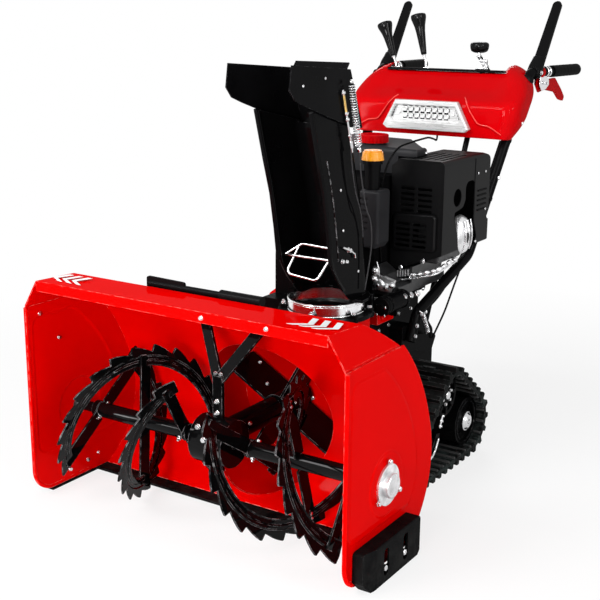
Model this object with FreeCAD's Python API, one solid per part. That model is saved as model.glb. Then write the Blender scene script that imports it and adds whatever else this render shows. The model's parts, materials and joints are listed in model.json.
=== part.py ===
import FreeCAD, Part
import math
import os

# A walk-behind, two-stage snow blower on rubber tracks.
# Millimetres. +Z is up, the auger housing faces -Y, and the handles point to +Y.
# The origin is on the ground, in the middle of the machine's box.

V = FreeCAD.Vector
AXIS_X = V(1, 0, 0)
AXIS_Y = V(0, 1, 0)
AXIS_Z = V(0, 0, 1)
ORIGIN = V(0, 0, 0)

# ---------------------------------------------------------------- driving dimensions
fit_gap = 0.3            # between faces of pieces that sit side by side
running_gap = 0.05       # radial play of a shaft in its bore

# Auger housing
housing_width = 870.0
housing_height = 550.0
sheet = 3.0
top_depth = 126.0
top_drop = 6.0
bevel_width = 43.0
bevel_height = 69.0
drum_radius = 207.0
drum_join_angle = 15.0
auger_setback = 167.0
auger_height = 195.0
ground_clearance = 10.0
plate_lip = 8.0
plate_corner = 62.0
hem_radius = 5.0
lip_height = 24.0

# Scraper and skid shoes
scraper_depth = 46.0
scraper_thickness = 6.0
skid_front = 36.0
skid_length = 236.0
skid_height = 92.0
skid_width = 34.0
skid_plate = 5.0
skid_nose = 26.0
skid_heel = 10.0
skid_taper = 9.0
skid_slot_drop = 14.0
skid_slot_spacing = 84.0
skid_slot_width = 22.0
skid_slot_height = 62.0

# Auger
shaft_radius = 12.5
auger_tube_radius = 18.5
auger_radius = 188.0
ribbon_depth = 52.0
ribbon_thickness = 5.0
ribbon_pitch = 378.0
ribbon_start = 368.0
ribbon_sweep = 288.0
ribbon_start_angle = 225.0
auger_phase_right = 20.0
tooth_depth = 17.0
tooth_angle = 18.0
strap_width = 36.0
strap_thickness = 6.0
sleeve_start = 84.0
sleeve_end = 378.0
gearbox_half_width = 46.0
gearbox_radius = 56.0
bearing_radius = 27.0
bearing_ear = 51.0
bearing_ear_radius = 13.0
bearing_plate = 5.0
bearing_cap = 13.0
bearing_disc = 45.0
pressing = 2.0
pressing_ramp = 10.0
pressing_margin = 70.0
dimple_radius = 78.0

# Impeller and its housing
impeller_height = 205.0
impeller_housing_radius = 186.0
impeller_radius = 174.0
impeller_depth = 120.0
impeller_front_gap = 20.0
impeller_rear_gap = 12.0
impeller_shaft_radius = 12.5
neck_radius = 30.0

# Chute
chute_offset = 110.0
collar_height = 462.0
flange_radius = 112.0
flange_thickness = 10.0
flange_bore_radius = 72.0
ring_radius = 92.0
ring_height = 30.0
ring_wall = 3.0
chute_width = 146.0
chute_wall = 3.0
chute_corner = 34.0
deflector_play = 5.5
deflector_wall = 3.0

# Tracks
track_outer = 326.0
track_width = 142.0
belt_thickness = 9.0
lug_height = 13.0
lug_length = 17.0
lug_count = 30
guide_width = 34.0
rib_height = 6.0
rib_width = 22.0
wheel_side_gap = 26.0
rear_idler_setback = 864.0
rear_idler_radius = 66.0
front_idler_setback = 596.0
front_idler_radius = 50.0
sprocket_setback = 737.0
sprocket_height = 198.0
sprocket_radius = 57.0
axle_radius = 12.5
hub_radius = 27.0
hub_cap_radius = 26.0
track_frame_plate = 6.0

# Frame and engine
tub_half_width = 150.0
tub_front = 600.0
tub_rear = 950.0
tub_bottom = 118.0
tub_top = 392.0
bed_height = 452.0
engine_front = 690.0
engine_depth = 250.0
engine_half_width = 150.0
engine_height = 293.0
belt_cover_right = 92.0
belt_cover_height = 188.0
filler_x = 111.0
filler_neck_height = 72.0
cover_left = 112.0
cover_width = 148.0
cover_front = 757.0
cover_depth = 280.0
cover_rise = 45.0
cover_height = 294.0
cover_wall = 3.0
elbow_setback = 912.0
elbow_radius = 39.0
exhaust_radius = 19.0
louvre_height = 6.5
louvre_pitch = 14.0
pad_height = 8.0
tank_height = 71.0

# Dash
dash_setback = 1168.0
dash_bottom = 808.0
dash_top = 1004.0
dash_half_width = 268.0
plate_half_width = 188.0
dash_rear_setback = 1336.0
shoulder_radius = 96.0
shoulder_hole = 21.0

# Handles
handle_bend_setback = 1320.0
handle_reach = 330.0
handle_radius = 14.0
handle_wall = 2.5
handle_bend_radius = 45.0
handle_low_x = 200.0
handle_bend_x = 240.0
handle_grip_x = 262.0
handle_grip_z = 985.0
grip_length = 178.0
grip_radius = 17.0
paddle_setback = 38.0
trigger_setback = 72.0
paddle_height = 198.0
paddle_lean = 148.0
paddle_thickness = 10.0
trigger_thickness = 7.0


# The auger's teeth stand out in front of the housing, so they are the machine's foremost points.
auger_lead = auger_radius - auger_setback
overall_length = auger_lead + handle_bend_setback + handle_reach
front_y = auger_lead - overall_length / 2

engine_top = bed_height + engine_height
cover_bottom = bed_height + cover_rise
cover_top = cover_bottom + cover_height
filler_neck_top = engine_top + 51.0


# ---------------------------------------------------------------- small tools
def on_yz(u, v):
    return V(0, u, v)


def on_xz(u, v):
    return V(u, 0, v)


def on_xy(u, v):
    return V(u, v, 0)


NORMALS = {on_yz: AXIS_X, on_xz: AXIS_Y, on_xy: AXIS_Z}


def setback(distance):
    """The y of a place that lies this far behind the housing's front edge."""
    return front_y + distance


def box(x0, x1, y0, y1, z0, z1):
    return Part.makeBox(x1 - x0, y1 - y0, z1 - z0, V(x0, y0, z0))


def rod(radius, start, end):
    span = end - start
    return Part.makeCylinder(radius, span.Length, start, span)


def pipe(outer, inner, start, end):
    return rod(outer, start, end).cut(rod(inner, start, end))


def rounded_edges(corners, plane):
    """Edges of a closed outline of (u, v, radius) corners, each rounded by its radius."""
    points = []
    for index, (u, v, radius) in enumerate(corners):
        here = V(u, v, 0)
        before = V(*corners[index - 1][:2], 0)
        after = V(*corners[(index + 1) % len(corners)][:2], 0)
        if radius <= 0:
            points.append((here,))
            continue
        to_before = (before - here).normalize()
        to_after = (after - here).normalize()
        half = to_before.getAngle(to_after) / 2
        reach = radius / math.tan(half)
        middle = (to_before + to_after).normalize()
        centre = here + middle * (radius / math.sin(half))
        points.append((here + to_before * reach, centre - middle * radius, here + to_after * reach))
    edges = []
    for index, spot in enumerate(points):
        following = points[(index + 1) % len(points)]
        spot3 = [plane(p.x, p.y) for p in spot]
        if len(spot3) == 3:
            edges.append(Part.Arc(*spot3).toShape())
        start = spot3[-1]
        end = plane(following[0].x, following[0].y)
        if start.distanceToPoint(end) > 1e-6:
            edges.append(Part.LineSegment(start, end).toShape())
    return edges


def slab(corners, plane, low, high):
    """A flat outline of (u, v) or (u, v, radius) corners, thick from low to high along its normal."""
    full = [tuple(c) if len(c) == 3 else (c[0], c[1], 0) for c in corners]
    wire = Part.Wire(rounded_edges(full, plane))
    normal = NORMALS[plane]
    face = Part.Face(wire)
    face.translate(normal * low)
    return face.extrude(normal * (high - low))


def edge_slab(edges, plane, low, high):
    wire = Part.Wire(Part.__sortEdges__(edges))
    normal = NORMALS[plane]
    face = Part.Face(wire)
    face.translate(normal * low)
    return face.extrude(normal * (high - low))


def bent_path(points, bend):
    """Straight runs joined by tangent arcs, all of one bend radius where the runs allow it."""
    edges = []
    start = points[0]
    for index in range(1, len(points) - 1):
        here, before, after = points[index], points[index - 1], points[index + 1]
        to_before = (before - here).normalize()
        to_after = (after - here).normalize()
        half = to_before.getAngle(to_after) / 2
        room = 0.45 * min((before - here).Length, (after - here).Length)
        reach = min(bend / math.tan(half), room)
        radius = reach * math.tan(half)
        middle = (to_before + to_after).normalize()
        near = here + to_before * reach
        far = here + to_after * reach
        peak = here + middle * (radius / math.sin(half) - radius)
        edges.append(Part.LineSegment(start, near).toShape())
        edges.append(Part.Arc(near, peak, far).toShape())
        start = far
    edges.append(Part.LineSegment(start, points[-1]).toShape())
    return Part.Wire(edges)


def bent_rod(points, radius, bend):
    path = bent_path(points, bend)
    ring = Part.Wire(Part.makeCircle(radius, points[0], points[1] - points[0]))
    return path.makePipeShell([ring], True, False)


def bent_pipe(points, radius, wall, bend):
    return bent_rod(points, radius, bend).cut(bent_rod(points, radius - wall, bend))


def mirrored(shape):
    return shape.mirror(ORIGIN, AXIS_X)


def fused(shapes):
    whole = shapes[0]
    if len(shapes) > 1:
        whole = whole.fuse(shapes[1:])
    return whole.removeSplitter()


def together(shapes):
    """Solids of one node that do not touch each other."""
    return Part.makeCompound(shapes)


def save(name, shape):
    shape.exportStep(f"parts/{name}.step")
    print(name, len(shape.Solids), round(shape.Volume / 1000), "cm3", shape.isValid())


# ---------------------------------------------------------------- auger housing
half_width = housing_width / 2
auger_y = setback(auger_setback)
shoulder = (setback(top_depth), housing_height - top_drop)
bevel_low_z = housing_height - bevel_height


def back_arc(radius):
    """Centre and radius of the long arc that runs from the round drum up to the top plate's fold."""
    angle = math.radians(drum_join_angle)
    unit = (math.cos(angle), math.sin(angle))
    join = (auger_y + drum_radius * unit[0], auger_height + drum_radius * unit[1])
    span = (shoulder[0] - join[0], shoulder[1] - join[1])
    length = -(span[0] ** 2 + span[1] ** 2) / (2 * (span[0] * unit[0] + span[1] * unit[1]))
    centre = (join[0] - length * unit[0], join[1] - length * unit[1])
    return centre, length + radius - drum_radius


def polar(centre, radius, degrees):
    angle = math.radians(degrees)
    return (centre[0] + radius * math.cos(angle), centre[1] + radius * math.sin(angle))


def housing_region(growth, cap_z, floor_z, front):
    """Edges of the housing's side outline, grown outwards, with a flat top at cap_z and a flat floor."""
    radius = drum_radius + growth
    centre, long_radius = back_arc(radius)
    top_angle = math.degrees(math.asin((cap_z - centre[1]) / long_radius))
    axis = (auger_y, auger_height)
    floor_angle = -math.degrees(math.asin((auger_height - floor_z) / radius))
    top_point = polar(centre, long_radius, top_angle)
    join = polar(centre, long_radius, drum_join_angle)
    middle_long = polar(centre, long_radius, (top_angle + drum_join_angle) / 2)
    middle_round = polar(axis, radius, (drum_join_angle + floor_angle) / 2)
    floor_point = polar(axis, radius, floor_angle)
    corners = {"top": top_point, "floor": floor_point}
    edges = [
        Part.Arc(on_yz(*top_point), on_yz(*middle_long), on_yz(*join)).toShape(),
        Part.Arc(on_yz(*join), on_yz(*middle_round), on_yz(*floor_point)).toShape(),
    ]
    return edges, corners


def drum_solid(growth, half, front_extra):
    """The drum's outer or inner form as a filled solid, from the front edge to the back wall."""
    cap_z = shoulder[1] + growth
    edges, corners = housing_region(growth, cap_z, ground_clearance, front_y)
    front = front_y - front_extra
    top_front = (front, housing_height + growth)
    floor_front = (front, ground_clearance - front_extra)
    floor_back = (corners["floor"][0], ground_clearance - front_extra)
    outline = [corners["floor"], floor_back, floor_front, top_front, corners["top"]]
    for start, end in zip(outline, outline[1:]):
        if math.dist(start, end) > 1e-6:
            edges.append(Part.LineSegment(on_yz(*start), on_yz(*end)).toShape())
    solid = edge_slab(edges, on_yz, -half, half)
    slope = math.hypot(bevel_width, bevel_height)
    drop = -growth * slope / bevel_width
    for side in (1, -1):
        wedge_corners = [
            (side * (half_width + bevel_width), bevel_low_z - drop - bevel_height),
            (side * (half_width - 2 * bevel_width), housing_height - drop + bevel_height),
            (side * (half_width + bevel_width), housing_height - drop + bevel_height),
        ]
        wedge = slab(wedge_corners, on_xz, front - 1, setback(2 * auger_setback))
        solid = solid.cut(wedge)
    return solid


def make_auger_housing():
    shell = drum_solid(0, half_width - sheet, 0).cut(drum_solid(-sheet, half_width, 20))
    lip = box(-half_width + bevel_width, half_width - bevel_width, front_y, front_y + sheet,
              housing_height - lip_height, housing_height - sheet)
    opening = rod(impeller_housing_radius - sheet, V(0, auger_y, impeller_height),
                  V(0, setback(3 * auger_setback), impeller_height))
    return fused([shell, lip]).cut(opening)


def softened(solid, radius, keeps):
    """Rounds the edges that this test keeps."""
    return solid.makeFillet(radius, [edge for edge in solid.Edges if keeps(edge)])


def make_side_plate():
    """The plate on the +X side, with its hem and its pressed panels."""
    inner, outer = half_width - sheet, half_width
    edges, corners = housing_region(plate_lip, bevel_low_z, ground_clearance, front_y)
    corner_top = (front_y, ground_clearance + plate_corner)
    corner_low = (front_y + plate_corner, ground_clearance)
    bend = plate_corner * (1 - math.sqrt(0.5))
    corner_mid = (front_y + bend, ground_clearance + bend)
    edges += [
        Part.LineSegment(on_yz(*corners["floor"]), on_yz(*corner_low)).toShape(),
        Part.Arc(on_yz(*corner_low), on_yz(*corner_mid), on_yz(*corner_top)).toShape(),
        Part.LineSegment(on_yz(*corner_top), on_yz(front_y, bevel_low_z)).toShape(),
        Part.LineSegment(on_yz(front_y, bevel_low_z), on_yz(*corners["top"])).toShape(),
    ]
    plate = edge_slab(edges, on_yz, inner, outer)
    hem_low = ground_clearance + hem_radius
    hem = bent_rod([V(outer, front_y + 3 * plate_corner, hem_low), V(outer, front_y + hem_radius, hem_low),
                    V(outer, front_y + hem_radius, bevel_low_z - hem_radius / 2)], hem_radius,
                   plate_corner - hem_radius)
    hem = hem.cut(box(inner, outer + 2 * hem_radius, setback(skid_front) - 2, 0, 0, 2 * plate_corner))
    low, front = skid_height + 2 * pressing_ramp, front_y + 3 * hem_radius + pressing_ramp
    region, ends = housing_region(-pressing_margin, bevel_low_z - lip_height - pressing_ramp, low, front_y)
    region += [
        Part.LineSegment(on_yz(*ends["floor"]), on_yz(front, low)).toShape(),
        Part.LineSegment(on_yz(front, low), on_yz(front, ends["top"][1])).toShape(),
        Part.LineSegment(on_yz(front, ends["top"][1]), on_yz(*ends["top"])).toShape(),
    ]
    form = softened(edge_slab(region, on_yz, outer, outer + pressing), 2 * pressing_ramp,
                    lambda edge: edge.Length < 1.01 * pressing)
    rim = [face for face in form.Faces if face.BoundBox.XMin > outer + pressing / 2][0].OuterWire
    foot = rim.makeOffset2D(pressing_ramp)
    foot.translate(AXIS_X * (-1.5 * pressing))
    panel = Part.makeLoft([foot, rim], True, True)
    dimple = Part.makeCone(dimple_radius, dimple_radius - pressing_ramp, 2 * pressing,
                           V(outer, auger_y, auger_height), AXIS_X)
    pressed = panel.fuse(dimple)
    hollow = pressed.translated(AXIS_X * -sheet)
    hole = rod(auger_tube_radius + 4, V(inner - 1, auger_y, auger_height),
               V(outer + 9, auger_y, auger_height))
    return fused([plate, hem, pressed]).cut(hollow).cut(hole)


def make_scraper():
    """A flat wear bar under the drum's lower edge."""
    back = auger_y + math.sqrt(drum_radius ** 2 - (auger_height - ground_clearance) ** 2)
    reach = half_width - sheet - fit_gap
    high = ground_clearance - fit_gap
    return box(-reach, reach, back - scraper_depth, back, high - scraper_thickness, high)


def make_skid():
    """The skid shoe on the +X side: a pan with a slotted outer face, a flat sole and a tapered toe."""
    start, end = setback(skid_front), setback(skid_front + skid_length)
    inner = half_width + fit_gap
    outer = inner + skid_width

    def pan(shrink, low, high):
        body = slab([(start + shrink, skid_nose), (start + skid_nose, shrink), (end - skid_heel, shrink),
                     (end - shrink, skid_heel), (end - shrink, skid_height - shrink, 8),
                     (start + shrink, skid_height - shrink, 8)], on_yz, low, high)
        side = outer - shrink
        toe = slab([(side + 1, start - 1), (side - skid_taper, start - 1), (side - skid_taper, start + 8),
                    (side + 1, start + 1.8 * skid_nose)], on_xy, -1, skid_height + 1)
        return body.cut(toe)

    body = softened(pan(0, inner, outer), 0.6 * skid_plate, lambda edge: edge.BoundBox.XMin > outer - 0.01)
    shoe = body.cut(pan(skid_plate, inner - 1, outer - skid_plate))
    middle = (start + end) / 2 + 0.3 * skid_nose
    low = skid_height - skid_slot_height - skid_slot_drop
    round_end = skid_slot_width / 2 - 0.01
    for side in (-1, 1):
        left = middle + side * skid_slot_spacing / 2 - skid_slot_width / 2
        right = left + skid_slot_width
        high = low + skid_slot_height
        slot = [(left, low, round_end), (right, low, round_end), (right, high, round_end),
                (left, high, round_end)]
        shoe = shoe.cut(slab(slot, on_yz, outer - skid_plate - 1, outer + 1))
        bolt = rod(7, V(inner, left + skid_slot_width / 2, low + 16),
                   V(outer - 3, left + skid_slot_width / 2, low + 16))
        shoe = shoe.fuse(bolt)
    return shoe


def make_bearing():
    """Three-eared bearing flange on the outside of the +X side plate."""
    inner = half_width + 2 * pressing + fit_gap
    centre = V(inner, auger_y, auger_height)
    ears = [polar((auger_y, auger_height), bearing_ear, 90 + 120 * turn) for turn in range(3)]
    plate = slab([(y, z, bearing_ear_radius) for y, z in ears], on_yz, inner, inner + bearing_plate)
    plate = plate.fuse(rod(bearing_disc, centre, centre + AXIS_X * bearing_plate))
    boss = rod(bearing_radius, centre, centre + AXIS_X * (bearing_plate + bearing_cap))
    boss = softened(boss, 4, lambda edge: edge.BoundBox.XMin > inner + bearing_plate)
    bore = rod(shaft_radius + running_gap, centre - AXIS_X,
               centre + AXIS_X * (bearing_plate + bearing_cap - 6))
    return fused([plate, boss]).cut(bore)


# ---------------------------------------------------------------- auger
def make_auger_shaft():
    end = half_width + 2 * pressing + fit_gap + bearing_plate + bearing_cap - 8
    return rod(shaft_radius, V(-end, auger_y, auger_height), V(end, auger_y, auger_height))


def ribbon_x(angle, first_angle):
    """Where along the shaft a ribbon that starts at this angle has got to."""
    return ribbon_start - ribbon_pitch * (first_angle - angle) / 360


def ribbon(first_angle):
    """A saw-toothed spiral strip with a pressed rib, made of short flat-sided pieces."""
    teeth = round(ribbon_sweep / tooth_angle)
    inner = auger_radius - ribbon_depth
    tooth = ((0.0, 1.0), (0.12, 0.0), (0.55, 0.5))
    stations = [(count + share, drop) for count in range(teeth) for share, drop in tooth] + [(teeth, 1.0)]
    wires = []
    for step, drop in stations:
        angle = first_angle - ribbon_sweep * step / teeth
        outer = auger_radius - tooth_depth * drop
        x = ribbon_x(angle, first_angle)
        lean = ribbon_thickness / 2
        turn = math.radians(angle)
        corners = [(x - lean, inner), (x + lean, inner), (x + lean, outer), (x - lean, outer)]
        across, up = math.cos(turn), math.sin(turn)
        points = [V(cx, auger_y + r * across, auger_height + r * up) for cx, r in corners]
        wires.append(Part.makePolygon(points + points[:1]))
    return Part.makeLoft(wires, True, True)


def strap(x_foot, x_head, angle):
    """A flat arm from the sleeve out to a ribbon."""
    reach = auger_radius - ribbon_depth / 2
    lean, half = strap_thickness / 2, strap_width / 2
    low = [V(x_foot - lean, -half, 0), V(x_foot + lean, -half, 0), V(x_foot + lean, half, 0),
           V(x_foot - lean, half, 0)]
    high = [V(p.x - x_foot + x_head, p.y, reach) for p in low]
    arm = Part.makeLoft([Part.makePolygon(low + low[:1]), Part.makePolygon(high + high[:1])], True, True)
    arm.rotate(ORIGIN, AXIS_X, angle - 90)
    arm.translate(V(0, auger_y, auger_height))
    return arm


def make_auger_side(phase):
    """Sleeve, two ribbons and their arms on the +X side of the gearbox, turned on by the phase."""
    axis_start = V(sleeve_start, auger_y, auger_height)
    axis_end = V(sleeve_end, auger_y, auger_height)
    bore = rod(shaft_radius + running_gap, axis_start - AXIS_X, axis_end + AXIS_X)
    pieces = [rod(auger_tube_radius, axis_start, axis_end)]
    for first_angle in (ribbon_start_angle + phase, ribbon_start_angle + phase - 180):
        pieces.append(ribbon(first_angle))
        for share in (0.03, 0.48, 0.97):
            angle = first_angle - ribbon_sweep * share
            head = ribbon_x(angle, first_angle)
            foot = min(max(head, sleeve_start + strap_thickness), sleeve_end - strap_thickness)
            pieces.append(strap(foot, head, angle))
    return fused(pieces).cut(bore)


def make_gearbox():
    """Worm gearbox on the auger shaft, with its neck towards the impeller."""
    body = rod(gearbox_radius, V(-gearbox_half_width, auger_y, auger_height),
               V(gearbox_half_width, auger_y, auger_height))
    neck_end = impeller_front - impeller_front_gap / 2
    neck = rod(neck_radius, V(0, auger_y, impeller_height), V(0, neck_end, impeller_height))
    bore = rod(shaft_radius + running_gap, V(-gearbox_half_width - 1, auger_y, auger_height),
               V(gearbox_half_width + 1, auger_y, auger_height))
    nose = rod(impeller_shaft_radius + running_gap, V(0, neck_end - 60, impeller_height),
               V(0, neck_end + 1, impeller_height))
    return fused([body, neck]).cut(bore).cut(nose)


# ---------------------------------------------------------------- impeller
drum_back = auger_y + drum_radius
impeller_front = drum_back + impeller_front_gap
impeller_back = impeller_front + impeller_depth
impeller_housing_back = impeller_back + impeller_rear_gap
chute_y = (drum_back + impeller_housing_back) / 2


def make_impeller():
    centre = V(0, 0, impeller_height)
    start = impeller_front - impeller_front_gap / 2 - 50
    shaft = rod(impeller_shaft_radius, V(0, start, impeller_height),
                V(0, impeller_housing_back + sheet + 12, impeller_height))
    hub = rod(34, V(0, impeller_front, impeller_height), V(0, impeller_back, impeller_height))
    pieces = [shaft, hub]
    for turn in range(4):
        blade = box(-3, 3, impeller_front, impeller_back, 0, impeller_radius)
        blade.rotate(ORIGIN, AXIS_Y, 90 * turn + 30)
        blade.translate(centre)
        pieces.append(blade)
    return fused(pieces)


def impeller_form(shrink, front, back, top):
    """The round housing with its square spout, as a filled solid."""
    radius = impeller_housing_radius - shrink
    drum = rod(radius, V(0, front, impeller_height), V(0, back, impeller_height))
    spout = box(chute_offset - flange_radius + 22 + shrink, radius, front, back, impeller_height, top)
    return drum.fuse(spout)


def make_impeller_housing():
    outer = impeller_form(0, auger_y, impeller_housing_back + sheet,
                          collar_height - flange_thickness - fit_gap)
    inner = impeller_form(sheet, auger_y - 1, impeller_housing_back, collar_height + 1)
    shell = outer.cut(inner).cut(drum_solid(fit_gap, half_width, 0))
    mouth = box(-half_width, half_width, auger_y, drum_back + 3,
                impeller_height + impeller_housing_radius, collar_height)
    bore = rod(impeller_shaft_radius + running_gap, V(0, impeller_housing_back - 1, impeller_height),
               V(0, impeller_housing_back + sheet + 1, impeller_height))
    shell = shell.cut(mouth).cut(bore)
    front_wall = box(chute_offset - flange_radius + 22, impeller_housing_radius, drum_back + 3,
                     drum_back + 6,
                     impeller_height + 150, collar_height - flange_thickness - fit_gap)
    front_wall = front_wall.cut(rod(impeller_housing_radius - sheet, V(0, auger_y, impeller_height),
                                    V(0, impeller_housing_back, impeller_height)))
    return fused([shell, front_wall])


# ---------------------------------------------------------------- chute
def make_chute_flange():
    low = collar_height - flange_thickness
    centre = V(chute_offset, chute_y, low)
    return pipe(flange_radius, flange_bore_radius, centre, centre + AXIS_Z * flange_thickness)


def make_chute_ring():
    low = collar_height + fit_gap
    centre = V(chute_offset, chute_y, low)
    return pipe(ring_radius, ring_radius - ring_wall, centre, centre + AXIS_Z * ring_height)


chute_low = collar_height + fit_gap + ring_height
chute_back_low = chute_y + 86
hinge_y = chute_y + 6
hinge_z = 905.0
back_low = (chute_back_low, chute_low + 20)
back_mid = (chute_back_low - 23, 684.0)
back_top = (hinge_y - 7, hinge_z - 15)


pin_y = hinge_y - 26
pin_radius = 5.0


def hinge_pin(side, radius):
    """One of the two bolts that the deflector tilts on."""
    outside = V(chute_offset + side * (chute_width / 2 + deflector_play + deflector_wall + 3), pin_y,
                hinge_z)
    inside = V(chute_offset + side * (chute_width / 2 - chute_wall - 2), pin_y, hinge_z)
    return rod(radius, outside, inside)


def make_chute():
    """Three-sided spout with rounded rear corners, open to the front, leaning forwards."""
    outer = chute_width / 2
    front = [(chute_y - 188, 942), (chute_y - 155, 833), (chute_y - 128, 751), (chute_y - 111, 670),
             (chute_y - 99, 596, 30), (chute_y - 72, 556, 40), (chute_y - 12, chute_low, 50)]
    cheek = front + [(chute_y + 82, chute_low), back_low, back_mid, back_top, (hinge_y - 12, hinge_z)]

    def on_back(edge):
        level = abs(edge.Vertexes[0].Z - edge.Vertexes[-1].Z) > 40
        behind = min(v.Y for v in edge.Vertexes) > chute_y - 30
        return level and behind and edge.BoundBox.XLength < 0.01

    filled = slab(cheek, on_yz, chute_offset - outer, chute_offset + outer)
    filled = softened(filled, chute_corner, on_back)
    cut_back = [back_top, back_mid, back_low, (chute_y + 82, chute_low)]
    inner = [(y - chute_wall, z) for y, z in cut_back]
    inner += [(chute_y + 79, chute_low - 1), (chute_y - 400, chute_low - 1), (chute_y - 400, hinge_z + 60),
              (hinge_y - 10 - chute_wall, hinge_z + 60)]
    hollow = slab(inner, on_yz, chute_offset - outer + chute_wall, chute_offset + outer - chute_wall)
    hollow = softened(hollow, chute_corner - chute_wall, on_back)
    centre = V(chute_offset, chute_y, chute_low)
    foot = pipe(ring_radius + 12, ring_radius - 6, centre, centre + AXIS_Z * 6)
    front_part = box(chute_offset - 200, chute_offset + 200, chute_y - 200, chute_y - 10, chute_low - 1,
                     chute_low + 7)
    pieces = [filled.cut(hollow), foot.cut(front_part)]
    for side in (-1, 1):
        path = [V(chute_offset + side * (outer - 2), y, z) for y, z in [(p[0], p[1]) for p in front[:5]]]
        pieces.append(bent_rod(path, 5, 40))
    spout = fused(pieces)
    for side in (-1, 1):
        spout = spout.cut(hinge_pin(side, pin_radius + running_gap))
    return spout


def make_deflector():
    inner = chute_width / 2 + deflector_play
    outer = inner + deflector_wall
    top_back = (chute_y - 43, 1027)
    low_back = (hinge_y + 2, hinge_z + 6)
    cheek = [(chute_y - 276, 1043), (chute_y - 284, 993), (chute_y - 264, 971), (chute_y - 227, 958),
             (chute_y - 98, 919), (hinge_y - 12, hinge_z - 10), (hinge_y + 8,
                                                                 hinge_z - 10), low_back, top_back]
    filled = slab(cheek, on_yz, chute_offset - outer, chute_offset + outer)
    hollow = slab([(top_back[0] - deflector_wall, top_back[1] + 40),
                   (top_back[0] - deflector_wall, top_back[1]),
                   (low_back[0] - deflector_wall, low_back[1]), (low_back[0] - deflector_wall + 4,
                                                                 hinge_z - 20),
                   (chute_y - 400, hinge_z - 20), (chute_y - 400, 1100)],
                  on_yz, chute_offset - inner, chute_offset + inner)
    flap = slab([(top_back[0] - 1, top_back[1] - 6), (top_back[0] + 14, top_back[1] + 12),
                 (top_back[0] + 11, top_back[1] + 14), (top_back[0] - 2, top_back[1] - 1)], on_yz,
                chute_offset - inner + 8, chute_offset + inner - 8)
    return fused([filled.cut(hollow), flap] + [hinge_pin(side, pin_radius) for side in (-1, 1)])


# ---------------------------------------------------------------- tracks
def loop_wheels(extra):
    return [
        ((setback(front_idler_setback), ground_wheel(front_idler_radius)), front_idler_radius + extra),
        ((setback(rear_idler_setback), ground_wheel(rear_idler_radius)), rear_idler_radius + extra),
        ((setback(sprocket_setback), sprocket_height), sprocket_radius + extra),
    ]


def ground_wheel(radius):
    return radius + belt_thickness + lug_height


def tangent_points(first, second):
    """Ends of the straight run that leaves one circle and reaches the next, with the loop on its left."""
    (ay, az), ra = first
    (by, bz), rb = second
    span = math.hypot(by - ay, bz - az)
    heading = math.atan2(bz - az, by - ay)
    tilt = heading - math.pi / 2 + math.asin((ra - rb) / span)
    unit = (math.cos(tilt), math.sin(tilt))
    return (ay + ra * unit[0], az + ra * unit[1]), (by + rb * unit[0], bz + rb * unit[1]), tilt


def loop_edges(extra):
    wheels = loop_wheels(extra)
    runs = [tangent_points(wheels[i], wheels[(i + 1) % 3]) for i in range(3)]
    edges = []
    for index in range(3):
        start, end, tilt = runs[index]
        edges.append(Part.LineSegment(on_yz(*start), on_yz(*end)).toShape())
        centre, radius = wheels[(index + 1) % 3]
        after, _, next_tilt = runs[(index + 1) % 3]
        turn = (next_tilt - tilt) % (2 * math.pi)
        middle = tilt + turn / 2
        peak = (centre[0] + radius * math.cos(middle), centre[1] + radius * math.sin(middle))
        edges.append(Part.Arc(on_yz(*end), on_yz(*peak), on_yz(*after)).toShape())
    return edges


def make_track():
    """One closed rubber loop with its cross lugs and inner ribs, on the +X side."""
    inner_x, outer_x = track_outer - track_width, track_outer
    belt = edge_slab(loop_edges(belt_thickness), on_yz, inner_x, outer_x)
    belt = belt.cut(edge_slab(loop_edges(0), on_yz, inner_x - 1, outer_x + 1))
    path = Part.Wire(Part.__sortEdges__(loop_edges(belt_thickness)))
    spots = path.discretize(Number=2 * lug_count + 1)[:-1]
    centre = V(0, setback(sprocket_setback), sprocket_height / 2)
    extras = []
    for index, spot in enumerate(spots):
        along = (spots[(index + 1) % len(spots)] - spots[index - 1]).normalize()
        out = along.cross(AXIS_X)
        if out.dot(spot - centre) < 0:
            out = out * -1
        if index % 2 == 0:
            reach, root, tip, height = track_width, lug_length / 2, lug_length * 0.34, lug_height
            places = [inner_x]
        else:
            reach, root, tip, height = guide_width, 6, 4, 0.6 * lug_height
            places = [(inner_x + outer_x - guide_width) / 2]
        corners = [spot - along * root - out * 2, spot + along * root - out * 2,
                   spot + along * tip + out * height, spot - along * tip + out * height]
        face = Part.Face(Part.makePolygon(corners + corners[:1]))
        for x in places:
            block = face.translated(AXIS_X * x).extrude(AXIS_X * reach)
            extras.append(block)
        if index % 2 == 0:
            back = spot - out * (belt_thickness - 1)
            rib = [back - along * 4, back + along * 4, back + along * 2 - out * rib_height,
                   back - along * 2 - out * rib_height]
            face = Part.Face(Part.makePolygon(rib + rib[:1]))
            for x in (inner_x, outer_x - rib_width):
                extras.append(face.translated(AXIS_X * x).extrude(AXIS_X * rib_width))
    ground = box(inner_x - 1, outer_x + 1, front_y, -front_y, -lug_height, 0)
    return fused([belt] + extras).cut(ground)


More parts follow.
